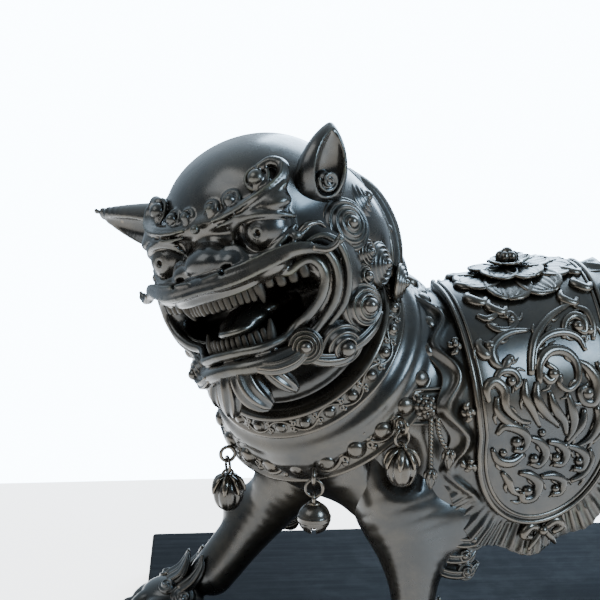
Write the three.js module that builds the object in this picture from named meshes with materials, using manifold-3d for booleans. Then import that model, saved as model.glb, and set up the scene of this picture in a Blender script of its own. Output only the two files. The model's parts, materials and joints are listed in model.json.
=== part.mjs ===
// Guardian lion (foo dog) in cast bronze on a lacquered wooden plinth.
// Millimetres, +Z up. Origin: centre of the plinth's underside. The lion walks toward -X.
import * as THREE from "three";
import { mergeVertices } from "three/addons/utils/BufferGeometryUtils.js";
import Module from "manifold-3d";

const wasm = await Module();
wasm.setup();

// ---- driving dimensions ----
const PLINTH = { length: 320, width: 220, height: 24, chamfer: 2.5 };
const FIT_GAP = 0.3;
const CASTING_WALL = 5;
const STUD = { radius: 2.5, intoPaw: 13, intoPlinth: 21 };
const NUT = { acrossFlats: 8, height: 4, recessDepth: 8, recessRadius: 7 };
const COLLAR_OUTER = {
  centre: [-71, -45, 168], axis: [-0.5, -0.55, 0.67], inner: 54, outer: 61, width: 15,
};
const COLLAR_INNER = {
  centre: [-81, -56, 181.4], axis: [-0.5, -0.55, 0.67], inner: 43, outer: 50.5, width: 10,
};
const BORE_RADIUS = 27;
const SADDLE = { from: 0.338, to: 0.59, arcTop: 80, drop: 50 };
const BELL = { radius: 7.4, wall: 0.9, pellet: 1.7, slot: 2.2 };
const EYE = { major: 3.4, wire: 0.9 };
const RING = { major: 3.9, wire: 0.7 };
const LOOP = { major: 2.6, wire: 0.7 };

// Torso stations from chest to rump: [x, y, z, half width, half height].
const STATIONS = [
  [-92, -52, 148, 6, 8],
  [-84, -50, 148, 29, 32],
  [-62, -46, 147, 41, 46],
  [-36, -41, 146, 46, 50],
  [-8, -33, 146, 51, 51],
  [20, -24, 147.5, 53, 52],
  [48, -15, 150, 52, 52],
  [74, -9, 153, 50, 50],
  [98, -6, 156, 47, 45],
  [118, -5, 158, 39, 37],
  [132, -4, 160, 26, 25],
  [138, -4, 161, 6, 6],
];

// ---- materials ----
function bronze(color, roughness = 0.42) {
  return new THREE.MeshStandardMaterial({ color, roughness, metalness: 1 });
}
const DARK = 0x3a2f1f;
const WARM = 0x54401f;
const BRASSY = 0x8a6a2c;
const LACQUER = new THREE.MeshStandardMaterial({ color: 0x17181a, roughness: 0.5, metalness: 0 });
const STEEL = new THREE.MeshStandardMaterial({ color: 0x8d8f92, roughness: 0.35, metalness: 1 });

// ---- solids ----
function solid(geometry) {
  const bare = geometry.clone();
  bare.deleteAttribute("normal");
  bare.deleteAttribute("uv");
  const merged = mergeVertices(bare, 1e-4);
  const faces = [];
  const index = merged.index.array;
  for (let i = 0; i < index.length; i += 3) {
    const [a, b, c] = [index[i], index[i + 1], index[i + 2]];
    if (a !== b && b !== c && a !== c) faces.push(a, b, c);
  }
  const mesh = new wasm.Mesh({
    numProp: 3,
    vertProperties: new Float32Array(merged.attributes.position.array),
    triVerts: new Uint32Array(faces),
  });
  return new wasm.Manifold(mesh);
}

function geometryOf(shape) {
  const mesh = shape.getMesh();
  const geometry = new THREE.BufferGeometry();
  geometry.setAttribute("position", new THREE.BufferAttribute(new Float32Array(mesh.vertProperties), 3));
  geometry.setIndex(new THREE.BufferAttribute(new Uint32Array(mesh.triVerts), 1));
  geometry.computeVertexNormals();
  return geometry;
}

function join(...shapes) {
  return shapes.reduce((all, shape) => all.add(shape));
}

function cut(shape, ...tools) {
  return tools.reduce((rest, tool) => rest.subtract(tool), shape);
}

const vec = (p) => (p instanceof THREE.Vector3 ? p.clone() : new THREE.Vector3(...p));

function turned(geometry, direction) {
  const up = new THREE.Vector3(0, 0, 1);
  const spin = new THREE.Quaternion().setFromUnitVectors(up, vec(direction).normalize());
  return geometry.applyQuaternion(spin);
}

function ball(centre, radii, around = 16, down = 10) {
  const [rx, ry, rz] = Array.isArray(radii) ? radii : [radii, radii, radii];
  const geometry = new THREE.SphereGeometry(1, around, down).rotateX(Math.PI / 2);
  return geometry.scale(rx, ry, rz).translate(...vec(centre).toArray());
}

// Tapered limb with rounded ends from a to b.
function limb(a, b, ra, rb, around = 10) {
  const start = vec(a);
  const along = vec(b).sub(start);
  const length = along.length();
  const profile = [];
  for (let i = 0; i <= 3; i += 1) {
    const angle = -Math.PI / 2 + (i / 3) * (Math.PI / 2);
    profile.push(new THREE.Vector2(i === 0 ? 0 : ra * Math.cos(angle), ra * Math.sin(angle)));
  }
  for (let i = 0; i <= 3; i += 1) {
    const angle = (i / 3) * (Math.PI / 2);
    profile.push(new THREE.Vector2(i === 3 ? 0 : rb * Math.cos(angle), length + rb * Math.sin(angle)));
  }
  const geometry = new THREE.LatheGeometry(profile, around).rotateX(Math.PI / 2);
  return turned(geometry, along).translate(...start.toArray());
}

// Solid of revolution from [radius, height] pairs, standing on "at" and pointing along "axis".
function revolved(pairs, at, axis, around = 18) {
  const profile = pairs.map(([r, h]) => new THREE.Vector2(r, h));
  const geometry = new THREE.LatheGeometry(profile, around).rotateX(Math.PI / 2);
  return turned(geometry, axis).translate(...vec(at).toArray());
}

function band(collar, grow = 0, around = 20) {
  const half = collar.width / 2 + grow;
  const inside = collar.inner - grow;
  const outside = collar.outer + grow;
  const bevel = 1.6;
  const pairs = [
    [inside, -half],
    [outside - bevel, -half],
    [outside, -half + bevel],
    [outside, half - bevel],
    [outside - bevel, half],
    [inside, half],
    [inside, -half],
  ];
  return revolved(pairs, collar.centre, collar.axis, around);
}

// Wire ring whose plane holds the two given directions.
function wireRing(centre, sideA, sideB, major, wire) {
  const normal = vec(sideA).cross(vec(sideB)).normalize();
  const geometry = new THREE.TorusGeometry(major, wire, 6, 12);
  return turned(geometry, normal).translate(...vec(centre).toArray());
}

function rod(bottom, top, radius, around = 12) {
  const height = top[2] - bottom[2];
  const geometry = new THREE.CylinderGeometry(radius, radius, height, around).rotateX(Math.PI / 2);
  return geometry.translate(bottom[0], bottom[1], bottom[2] + height / 2);
}

// ---- torso surface ----
const centreLine = new THREE.CatmullRomCurve3(STATIONS.map(([x, y, z]) => new THREE.Vector3(x, y, z)));
const sizeLine = new THREE.CatmullRomCurve3(STATIONS.map(([, , , a, b]) => new THREE.Vector3(a, b, 0)));

// Point on the torso, "turn" measured from the spine and positive toward the left flank (-Y).
function torsoPoint(t, turn, offset = 0) {
  const centre = centreLine.getPoint(t);
  const size = sizeLine.getPoint(t);
  return new THREE.Vector3(
    centre.x,
    centre.y - (size.x + offset) * Math.sin(turn),
    centre.z + (size.y + offset) * Math.cos(turn),
  );
}

function torsoLoft(offset, around = 20, along = 12) {
  const geometry = new THREE.SphereGeometry(1, around, along);
  const position = geometry.attributes.position;
  const columns = around + 1;
  for (let i = 0; i < position.count; i += 1) {
    const row = Math.floor(i / columns);
    const column = (i % columns) % around;
    const t = row / along;
    const turn = -(column / around) * Math.PI * 2;
    const atTip = row === 0 || row === along;
    const tip = centreLine.getPoint(t);
    const side = Math.sign(t - 0.5) * Math.min(offset, 0);
    const point = atTip ? tip : torsoPoint(t, turn, offset);
    position.setXYZ(i, point.x - side, point.y, point.z);
  }
  return geometry;
}

// Cloth surface: it lies on the back, then hangs straight down from the widest part of the flank.
function clothPoint(t, s, offset) {
  const side = Math.sign(s) || 1;
  const length = Math.abs(s);
  const bend = Math.min(length / SADDLE.arcTop, 1) * (Math.PI / 2);
  const point = torsoPoint(t, side * bend, offset);
  point.z -= Math.max(length - SADDLE.arcTop, 0);
  return point;
}

// A sheet between two offsets; its front and rear rims draw in toward the lower edge.
function sheet(inner, outer, margin, drop, along = 5, across = 14) {
  const geometry = new THREE.BoxGeometry(1, 1, 1, along, across, 1);
  const position = geometry.attributes.position;
  const reach = SADDLE.arcTop + drop;
  const middle = (SADDLE.from + SADDLE.to) / 2;
  const half = (SADDLE.to - SADDLE.from) / 2 + margin;
  for (let i = 0; i < position.count; i += 1) {
    const u = position.getX(i) * 2;
    const v = -position.getY(i) * 2;
    const fall = Math.abs(v) ** 4.5;
    const pull = Math.sqrt(1 - 0.93 * fall);
    const slant = 0.055 * Math.min(Math.abs(v) * 1.5, 1);
    const t = middle + slant + u * half * (1 + 0.25 * Math.abs(v)) * pull;
    const point = clothPoint(t, v * reach, position.getZ(i) > 0 ? outer : inner);
    position.setXYZ(i, point.x, point.y, point.z);
  }
  return geometry;
}

// ---- neck, torso casting ----
const neckAxis = vec(COLLAR_OUTER.axis).normalize();
const headCentre = new THREE.Vector3(-95, -61, 222);
const boreFrom = new THREE.Vector3(-50, -40, 150);
const boreTo = headCentre.clone();
const boreAxis = boreTo.clone().sub(boreFrom).normalize();

function neckSolid(grow) {
  const g = grow;
  const profile = [[0, -34 - g], [44 + g, -34 - g], [55.5 + g, -12], [57 + g, 4], [53 + g, 11]];
  profile.push([45 + g, 17], [44 + g, 28], [38 + g, 34 + g], [0, 34 + g]);
  return solid(revolved(profile, COLLAR_OUTER.centre, COLLAR_OUTER.axis));
}

function torsoOuter(grow) {
  return join(solid(torsoLoft(grow)), neckSolid(grow));
}

const bore = solid(limb(boreFrom, boreTo, BORE_RADIUS, BORE_RADIUS, 14));
const torso = cut(torsoOuter(0), solid(torsoLoft(-CASTING_WALL, 14, 10)), bore);
const torsoKeepOut = torsoOuter(FIT_GAP);

// ---- head, in its own axes: x to the lion's right, y forward, z up ----
const headForward = new THREE.Vector3(-0.56, -0.81, -0.12).normalize();
const headLeft = new THREE.Vector3(0.78, -0.54, 0.32);
headLeft.addScaledVector(headForward, -headLeft.dot(headForward)).normalize();
const headUp = headForward.clone().cross(headLeft).normalize();
const headMatrix = new THREE.Matrix4().makeBasis(headLeft.clone().negate(), headForward, headUp);
headMatrix.setPosition(headCentre);

const toHead = (geometry) => solid(geometry.applyMatrix4(headMatrix));
const pair = (make) => [1, -1].map((side) => make(side));

function headMasses(grow = 0) {
  const masses = [
    ball([0, -2, 10], [45 + grow, 43 + grow, 45 + grow], 14, 8),
    ball([0, -20, -4], [48, 32, 42], 12, 8),
    ball([0, 32, 0], [32, 25, 15], 12, 6),
    ball([0, 48, 8], [13, 7, 8], 10, 6),
    ball([0, 28, -37], [29, 28, 9], 12, 5),
    ball([0, 48, -38], [15, 9, 9], 10, 6),
    limb([0, 50, -42], [0, 50, -54], 7, 1.5, 8),
  ];
  for (const side of [1, -1]) {
    masses.push(
      ball([side * 26.5, 33.5, 14], 10.5, 8, 5),
      ball([side * 27, 28, 28], [16, 12, 8], 8, 5),
      ball([side * 37, 17, -14], [14, 22, 24], 8, 5),
      ball([side * 32, 20, -40], 10, 8, 5),
      ball([side * 46, 7, 4], [9 + grow, 13 + grow, 13 + grow], 8, 5),
      ball([side * 45, -10, -20], [10, 14, 14], 8, 5),
      ball([side * 38, -22, -22], [10, 12, 11], 8, 5),
    );
  }
  return masses.map(toHead);
}

const headSeat = join(...headMasses(FIT_GAP));
const collarInnerKeepOut = solid(band(COLLAR_INNER, FIT_GAP));
const collarOuterKeepOut = solid(band(COLLAR_OUTER, FIT_GAP));
const headOuter = cut(join(...headMasses()), neckSolid(FIT_GAP), collarInnerKeepOut, collarOuterKeepOut);
const mouth = toHead(ball([0, 46, -19], [25, 34, 11], 12, 6));
const skullHollow = toHead(ball([0, -6, 8], [37, 33, 35], 10, 6));
const head = cut(headOuter, mouth, skullHollow, bore, torsoKeepOut);

// The tongue lies in the mouth hollow on the floor of the jaw, clear of the jaw by the fit gap.
const tongue = toHead(ball([0, 38, -22.5], [12, 22, 3.2], 12, 6)).intersect(
  toHead(ball([0, 46, -19], [25 - FIT_GAP, 34 - FIT_GAP, 11 - FIT_GAP], 12, 6)),
);

const EAR_LEFT = { base: new THREE.Vector3(-41, 6, 20), tip: new THREE.Vector3(-52, -2, 46) };
const EAR_RIGHT = { base: new THREE.Vector3(43, 4, 22), tip: new THREE.Vector3(86, 6, 44) };

// Hollow leaf-shaped ear from its base to its tip; it is let into the side of the skull.
function ear(base, tip) {
  const direction = tip.clone().sub(base);
  const middle = base.clone().lerp(tip, 0.5);
  const leaf = turned(new THREE.SphereGeometry(1, 12, 8).rotateX(Math.PI / 2).scale(11, 6, 20), direction);
  const scoop = turned(new THREE.SphereGeometry(1, 10, 6).rotateX(Math.PI / 2).scale(7, 5, 13), direction);
  leaf.translate(...middle.toArray());
  scoop.translate(middle.x, middle.y + 6, middle.z);
  return cut(toHead(leaf), toHead(scoop), headSeat);
}

// ---- saddle cloth, panel and flower ----
const clothSeat = solid(sheet(-5, 4.4, 0.04, SADDLE.drop + 9));
const cloth = cut(solid(sheet(-1.5, 3.4, 0.02, SADDLE.drop + 6)), torsoKeepOut);
const panel = cut(solid(sheet(1, 6.6, 0, SADDLE.drop - 4)), clothSeat);
const clothKeepOut = solid(sheet(-2, 7, 0.024, SADDLE.drop + 6.4));
const panelSeat = solid(sheet(-16, 6.9, 0.03, SADDLE.drop - 3.6));
const flowerAt = torsoPoint(0.515, 0, 5);
const peony = cut(solid(ball(flowerAt, [27, 27, 12], 16, 8)), panelSeat);

// ---- collars ----
const collarOuter = cut(solid(band(COLLAR_OUTER)), torsoKeepOut, clothKeepOut);
const collarInner = cut(solid(band(COLLAR_INNER)), torsoKeepOut, collarOuterKeepOut);
const collarSeat = join(collarOuterKeepOut, collarInnerKeepOut);

// ---- breast straps, rosettes and tassels ----
function strap(side, inner, outer, grow = 0) {
  const geometry = new THREE.BoxGeometry(1, 1, 1, 6, 3, 1);
  const position = geometry.attributes.position;
  for (let i = 0; i < position.count; i += 1) {
    const t = 0.3 + position.getX(i) * (0.07 + grow / 100);
    const turn = side * 1.37 - position.getY(i) * (0.26 + grow / 25);
    const point = torsoPoint(t, turn, position.getZ(i) > 0 ? outer : inner);
    position.setXYZ(i, point.x, point.y, point.z);
  }
  return solid(geometry);
}

const strapKeepOut = join(strap(1, 0.1, 3.4, 1), strap(-1, 0.1, 3.4, 1));
const ROSETTE_T = 0.3;
const ROSETTE_TURN = 1.37;

function rosette(side) {
  const at = torsoPoint(ROSETTE_T, side * ROSETTE_TURN, 2.8);
  const outward = new THREE.Vector3(0, -side * Math.sin(ROSETTE_TURN), Math.cos(ROSETTE_TURN));
  const profile = [[0, 0], [4.8, 0], [5, 1.2], [3.4, 3], [0, 4]];
  return cut(solid(revolved(profile, at, outward, 14)), strapKeepOut, collarSeat, torsoKeepOut);
}

// Twisted cord with a bud at its end, hanging just under the rosette.
function tassel(side, long) {
  const knot = torsoPoint(ROSETTE_T, side * ROSETTE_TURN, 4.6);
  const x = knot.x + (long ? 0.4 : 3.8);
  const start = new THREE.Vector3(x, knot.y - side * 2.9, knot.z - 6);
  const end = new THREE.Vector3(x + (long ? 0 : 5), start.y - side * 1.2, start.z - (long ? 23 : 14));
  const bud = end.clone().add(new THREE.Vector3(0, 0, -2));
  return join(solid(limb(start, end, 1.2, 1.2, 7)), solid(ball(bud, [2.6, 2.6, 4], 8, 6)));
}

// ---- legs and tail ----
const floor = solid(new THREE.BoxGeometry(500, 400, 100).translate(0, 0, PLINTH.height - 50));

function leg(points, pawCentre, pawTurn, keepOut) {
  const parts = [];
  for (let i = 0; i + 1 < points.length; i += 1) {
    const [ax, ay, az, ar] = points[i];
    const [bx, by, bz, br] = points[i + 1];
    parts.push(solid(limb([ax, ay, az], [bx, by, bz], ar, br, 9)));
  }
  const last = points[points.length - 1];
  parts.push(solid(limb(last.slice(0, 3), pawCentre, last[3], 11, 8)));
  const sole = new THREE.Group();
  sole.position.set(...pawCentre);
  sole.rotation.z = pawTurn;
  sole.updateMatrix();
  const pad = ball([-6, 0, -5], [20, 15, 11], 10, 5).applyMatrix4(sole.matrix);
  parts.push(solid(pad));
  return cut(join(...parts), floor, torsoKeepOut, keepOut);
}

const PAWS = {
  front_left: { at: [-32, -84, 38], turn: 0.1 },
  front_right: { at: [-143, -12, 38], turn: -0.05 },
  hind_left: { at: [104, -52, 38], turn: 0.05 },
  hind_right: { at: [128, 40, 38], turn: 0 },
};
const LEG_POINTS = {
  front_left: [[-46, -58, 130, 22], [-24, -80, 74, 16], [-21, -84, 54, 12]],
  front_right: [[-62, -20, 128, 20], [-92, -12, 92, 15], [-119, -10, 68, 11.5], [-131, -11, 52, 11]],
  hind_left: [[110, -28, 142, 24], [90, -48, 100, 19], [124, -48, 70, 12], [115, -51, 50, 11]],
  hind_right: [[112, 18, 142, 24], [106, 38, 100, 19], [142, 38, 72, 12], [136, 40, 50, 11]],
};
const legs = Object.entries(PAWS).map(([name, paw]) => {
  const keepOut = name.startsWith("front") ? strapKeepOut : clothKeepOut;
  return [name, leg(LEG_POINTS[name], paw.at, paw.turn, keepOut)];
});

const tail = cut(
  join(
    solid(limb([126, -4, 182], [143, -4, 196], 12, 11, 10)),
    solid(ball([146, -4, 214], [12, 20, 26], 12, 8)),
    solid(limb([146, -18, 210], [142, -28, 236], 8, 2, 8)),
    solid(limb([146, 10, 210], [142, 20, 236], 8, 2, 8)),
    solid(limb([147, -4, 226], [141, -4, 256], 12, 2, 8)),
  ),
  torsoKeepOut,
);

// ---- plinth, studs and nuts ----
const studSites = Object.entries(PAWS).map(([name, paw]) => [name, paw.at[0] + 1, paw.at[1]]);
const rim = PLINTH.chamfer;
const outline = new THREE.Shape();
const halfLength = PLINTH.length / 2 - rim;
const halfWidth = PLINTH.width / 2 - rim;
outline.moveTo(-halfLength, -halfWidth);
outline.lineTo(halfLength, -halfWidth);
outline.lineTo(halfLength, halfWidth);
outline.lineTo(-halfLength, halfWidth);
outline.closePath();
const slab = new THREE.ExtrudeGeometry(outline, {
  depth: PLINTH.height - 2 * rim,
  bevelSize: rim,
  bevelThickness: rim,
  bevelSegments: 1,
});
slab.translate(0, 0, rim);
const drilled = studSites.flatMap(([, x, y]) => [
  solid(rod([x, y, -1], [x, y, PLINTH.height + 1], STUD.radius + FIT_GAP)),
  solid(rod([x, y, -1], [x, y, NUT.recessDepth], NUT.recessRadius, 16)),
]);
const plinth = cut(solid(slab), ...drilled);
const studLength = STUD.intoPlinth + STUD.intoPaw;
const studBottom = PLINTH.height - STUD.intoPlinth;

function stud(x, y, grow = 0) {
  return solid(rod([x, y, studBottom - grow], [x, y, studBottom + studLength + grow], STUD.radius + grow));
}

function nut(x, y) {
  const top = NUT.recessDepth - 0.1;
  const hexagon = rod([x, y, top - NUT.height], [x, y, top], NUT.acrossFlats / Math.sqrt(3), 6);
  return cut(solid(hexagon), stud(x, y, FIT_GAP));
}

// ---- hanging bells ----
const ringDown = new THREE.Vector3(0, 0, -1);
ringDown.addScaledVector(neckAxis, -ringDown.dot(neckAxis)).normalize();
const ringAcross = neckAxis.clone().cross(ringDown);
const UP = new THREE.Vector3(0, 0, 1);

function bell(name, degrees, fluted) {
  const angle = (degrees * Math.PI) / 180;
  const radial = ringDown.clone().multiplyScalar(Math.cos(angle));
  radial.addScaledVector(ringAcross, Math.sin(angle));
  const outward = new THREE.Vector3(radial.x, radial.y, 0).normalize();
  const tangent = UP.clone().cross(outward);
  const eyeCentre = vec(COLLAR_OUTER.centre).addScaledVector(radial, COLLAR_OUTER.outer + 1.4);
  const eye = solid(wireRing(eyeCentre, outward, UP, EYE.major, EYE.wire));
  const eyeSeat = eyeCentre.clone().addScaledVector(UP, -(EYE.major - EYE.wire));
  const ringCentre = eyeSeat.clone().addScaledVector(UP, RING.wire + FIT_GAP - RING.major);
  const ringSeat = ringCentre.clone().addScaledVector(UP, -(RING.major - RING.wire));
  const loopCentre = ringSeat.clone().addScaledVector(UP, LOOP.wire + FIT_GAP - LOOP.major);
  const bellCentre = loopCentre.clone().addScaledVector(UP, -(LOOP.major + BELL.radius - 1));
  const tall = fluted ? 1.18 : 1;
  const shellBall = (radius, around) => {
    const geometry = ball([0, 0, 0], [radius, radius, radius * tall], around, around / 2);
    return geometry.translate(...bellCentre.toArray());
  };
  const slotBox = new THREE.BoxGeometry(BELL.slot, BELL.radius * 2.4, BELL.radius);
  slotBox.translate(0, 0, -BELL.radius * 0.5 * tall - 2.6);
  slotBox.rotateZ(Math.atan2(outward.y, outward.x));
  slotBox.translate(...bellCentre.toArray());
  const shell = cut(
    solid(shellBall(BELL.radius, 14)),
    solid(shellBall(BELL.radius - BELL.wall, 12)),
    solid(slotBox),
  );
  const restDepth = (BELL.radius - BELL.wall) * tall - BELL.pellet - 0.9;
  const pelletCentre = bellCentre.clone().addScaledVector(UP, -restDepth);
  const grown = shellBall(BELL.radius + FIT_GAP, 16);
  const stem = solid(wireRing(loopCentre, outward, UP, LOOP.major, LOOP.wire));
  return [
    [`bell_${name}_eye`, cut(eye, collarOuterKeepOut)],
    [`bell_${name}_ring`, solid(wireRing(ringCentre, tangent, UP, RING.major, RING.wire))],
    [`bell_${name}_loop`, cut(stem, solid(grown))],
    [`bell_${name}_shell`, shell],
    [`bell_${name}_pellet`, solid(ball(pelletCentre, BELL.pellet, 8, 5))],
  ];
}

const bells = [bell("right", -25, true), bell("centre", 24, false), bell("left", 67, true)].flat();

// ---- neck spigot: a sleeve inside the neck bore that carries the head ----
const spigotAt = headCentre.clone().addScaledVector(boreAxis, -62);
const spigotOuter = BORE_RADIUS - 1.2;
const spigotProfile = [[22, 0], [spigotOuter, 0], [spigotOuter, 34], [22, 34], [22, 0]];
const spigot = solid(revolved(spigotProfile, spigotAt, boreAxis, 14));

// ---- assembly ----
const group = new THREE.Group();
group.name = "foo_dog_statue";

function place(name, shape, material) {
  const mesh = new THREE.Mesh(geometryOf(shape), material.clone());
  mesh.name = name;
  group.add(mesh);
}

place("plinth", plinth, LACQUER);
for (const [name, x, y] of studSites) {
  place(`stud_${name}`, stud(x, y), STEEL);
  place(`nut_${name}`, nut(x, y), STEEL);
}
place("torso", torso, bronze(DARK));
place("neck_spigot", spigot, bronze(DARK, 0.5));
place("head", head, bronze(WARM, 0.35));
place("ear_left", ear(EAR_LEFT.base, EAR_LEFT.tip), bronze(DARK));
place("ear_right", ear(EAR_RIGHT.base, EAR_RIGHT.tip), bronze(DARK));
place("tongue", tongue, bronze(DARK, 0.5));
for (const [i, [name, shape]] of legs.entries()) {
  const [, x, y] = studSites[i];
  place(`leg_${name}`, cut(shape, stud(x, y, FIT_GAP)), bronze(DARK));
}
place("tail", tail, bronze(DARK));
place("saddle_cloth", cloth, bronze(DARK, 0.45));
place("saddle_panel", panel, bronze(WARM, 0.4));
place("peony_boss", peony, bronze(WARM, 0.35));
place("collar_outer", collarOuter, bronze(WARM, 0.35));
place("collar_inner", collarInner, bronze(WARM, 0.38));
for (const [name, side] of [["left", 1], ["right", -1]]) {
  place(`strap_${name}`, cut(strap(side, 0.4, 3), torsoKeepOut, collarSeat, clothKeepOut), bronze(DARK));
  place(`rosette_${name}`, rosette(side), bronze(BRASSY, 0.35));
  place(`tassel_${name}_long`, tassel(side, true), bronze(WARM));
  place(`tassel_${name}_short`, tassel(side, false), bronze(WARM));
}
for (const [name, shape] of bells) {
  place(name, shape, bronze(BRASSY, 0.38));
}

export default group;
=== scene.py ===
"""Cast bronze guardian lion on a lacquered plinth, built over its CAD frame."""
import json
import math

import bmesh
import bpy
import numpy as np
from bpy.props import FloatProperty, IntProperty, PointerProperty
from mathutils import Matrix, Vector

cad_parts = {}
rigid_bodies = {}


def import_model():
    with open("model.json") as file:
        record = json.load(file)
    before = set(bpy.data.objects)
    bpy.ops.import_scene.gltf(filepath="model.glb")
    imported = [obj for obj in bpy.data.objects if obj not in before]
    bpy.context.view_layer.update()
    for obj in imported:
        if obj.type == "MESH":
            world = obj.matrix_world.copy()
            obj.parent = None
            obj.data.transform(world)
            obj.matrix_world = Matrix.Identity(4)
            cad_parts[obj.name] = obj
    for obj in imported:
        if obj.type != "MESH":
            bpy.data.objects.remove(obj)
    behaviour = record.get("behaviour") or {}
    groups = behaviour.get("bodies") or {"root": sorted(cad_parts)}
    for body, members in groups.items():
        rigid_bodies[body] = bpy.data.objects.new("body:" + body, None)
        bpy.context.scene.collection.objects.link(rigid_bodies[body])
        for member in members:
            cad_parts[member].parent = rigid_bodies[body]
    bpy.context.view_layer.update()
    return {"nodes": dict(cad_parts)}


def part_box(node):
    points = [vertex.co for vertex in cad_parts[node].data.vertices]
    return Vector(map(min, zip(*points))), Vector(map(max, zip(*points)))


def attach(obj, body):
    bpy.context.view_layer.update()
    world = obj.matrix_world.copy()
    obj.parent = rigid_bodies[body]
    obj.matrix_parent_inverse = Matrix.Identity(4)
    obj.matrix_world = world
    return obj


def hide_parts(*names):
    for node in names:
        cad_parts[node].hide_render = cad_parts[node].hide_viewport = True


bl_info = {
    "name": "Guardian Lion Statue",
    "version": (1, 0, 0),
    "blender": (4, 5, 0),
    "location": "3D Viewport > Sidebar > Lion",
    "description": "Builds a cast bronze guardian lion with saddle cloth, collars and bells",
    "category": "Add Mesh",
}

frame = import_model()

MM = 0.001
PLINTH_TOP = 24.0

# Head axes in the row frame: x to the lion's right, y forward, z up (millimetres).
HEAD_AT = np.array([-95.0, -61.0, 222.0])
HEAD_FORWARD = np.array([-0.56, -0.81, -0.12])
HEAD_LEFT = np.array([0.78, -0.54, 0.32])

# Torso stations from chest to rump: x, y, z, half width, half height.
TORSO_STATIONS = np.array([
    (-92, -52, 148, 6, 8),
    (-84, -50, 148, 29, 32),
    (-62, -46, 147, 41, 46),
    (-36, -41, 146, 46, 50),
    (-8, -33, 146, 51, 51),
    (20, -24, 147.5, 53, 52),
    (48, -15, 150, 52, 52),
    (74, -9, 153, 50, 50),
    (98, -6, 156, 47, 45),
    (118, -5, 158, 39, 37),
    (132, -4, 160, 26, 25),
    (138, -4, 161, 6, 6),
], float)

# Neck ring: centre and axis of the outer collar; the inner collar shares the axis.
NECK_AT = np.array([-71.0, -45.0, 168.0])
NECK_AXIS = np.array([-0.5, -0.55, 0.67])
INNER_COLLAR_AT = np.array([-81.0, -56.0, 181.4])


def to_side(side, rows):
    """Rows of x, y, z and more, with x turned to one side (-1 or 1)."""
    return [(side * x, *rest) for x, *rest in rows]


def unit(v):
    v = np.asarray(v, float)
    return v / np.linalg.norm(v)


HEAD_FORWARD = unit(HEAD_FORWARD)
HEAD_LEFT = unit(HEAD_LEFT - HEAD_FORWARD * (HEAD_LEFT @ HEAD_FORWARD))
HEAD_UP = np.cross(HEAD_FORWARD, HEAD_LEFT)
HEAD_AXES = np.array([-HEAD_LEFT, HEAD_FORWARD, HEAD_UP])
NECK_AXIS = unit(NECK_AXIS)


def from_head(points):
    """Points in the head's axes, moved to the row frame."""
    return np.asarray(points, float) @ HEAD_AXES + HEAD_AT


# ---------------------------------------------------------------- curves

def catmull_rom(a, b, c, d, f):
    """Rows blended between b and c at a fraction f, with a and d as their neighbours."""
    return 0.5 * (2 * b + (c - a) * f + (2 * a - 5 * b + 4 * c - d) * f * f
                  + (3 * b - a - 3 * c + d) * f ** 3)


def smooth_path(points, per=6):
    """Catmull-Rom curve through rows of numbers (position, and anything that varies along it)."""
    p = np.asarray(points, float)
    p = np.vstack([2 * p[0] - p[1], p, 2 * p[-1] - p[-2]])
    out = []
    for i in range(1, len(p) - 2):
        for t in np.arange(per) / per:
            out.append(catmull_rom(*p[i - 1:i + 3], t))
    out.append(p[-2])
    return np.array(out)


def spaced(path, count):
    """The path resampled to equal steps."""
    steps = np.linalg.norm(np.diff(path[:, :3], axis=0), axis=1)
    s = np.concatenate([[0], np.cumsum(steps)])
    at = np.linspace(0, s[-1], count)
    return np.array([np.interp(at, s, path[:, k]) for k in range(path.shape[1])]).T


def path_frames(path, up=None):
    """Tangents, and two normals carried along the path; up fixes the second normal's side."""
    tangent = np.gradient(path, axis=0)
    tangent /= np.maximum(np.linalg.norm(tangent, axis=1), 1e-9)[:, None]
    first = np.zeros_like(path)
    if up is not None:
        up = np.broadcast_to(np.asarray(up, float), path.shape)
        first = np.cross(up, tangent)
        first /= np.linalg.norm(first, axis=1)[:, None]
        return tangent, first, np.cross(tangent, first)
    guess = np.array([0, 0, 1.0]) if abs(tangent[0][2]) < 0.9 else np.array([1.0, 0, 0])
    n = unit(np.cross(guess, tangent[0]))
    for i, t in enumerate(tangent):
        n = unit(n - t * (n @ t))
        first[i] = n
    return tangent, first, np.cross(tangent, first)


def spiral(at, normal, start, radius, turns, rise=0.0, count=40, end_radius=0.0):
    """Points winding in to a centre, on a plane or rising out of it. start gives the angle's zero."""
    n = unit(normal)
    a = unit(np.asarray(start, float) - n * (np.asarray(start, float) @ n))
    b = np.cross(n, a)
    t = np.linspace(0, 1, count)
    angle = 2 * np.pi * turns * t
    r = radius + (end_radius - radius) * t
    flat = np.outer(r * np.cos(angle), a) + np.outer(r * np.sin(angle), b)
    return np.asarray(at, float) + flat + np.outer(rise * t, n)


# ---------------------------------------------------------------- modelling clay (distance field)

def soft_min(a, b, k):
    h = np.clip(0.5 + 0.5 * (b - a) / k, 0, 1)
    return b + (a - b) * h - k * h * (1 - h)


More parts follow.
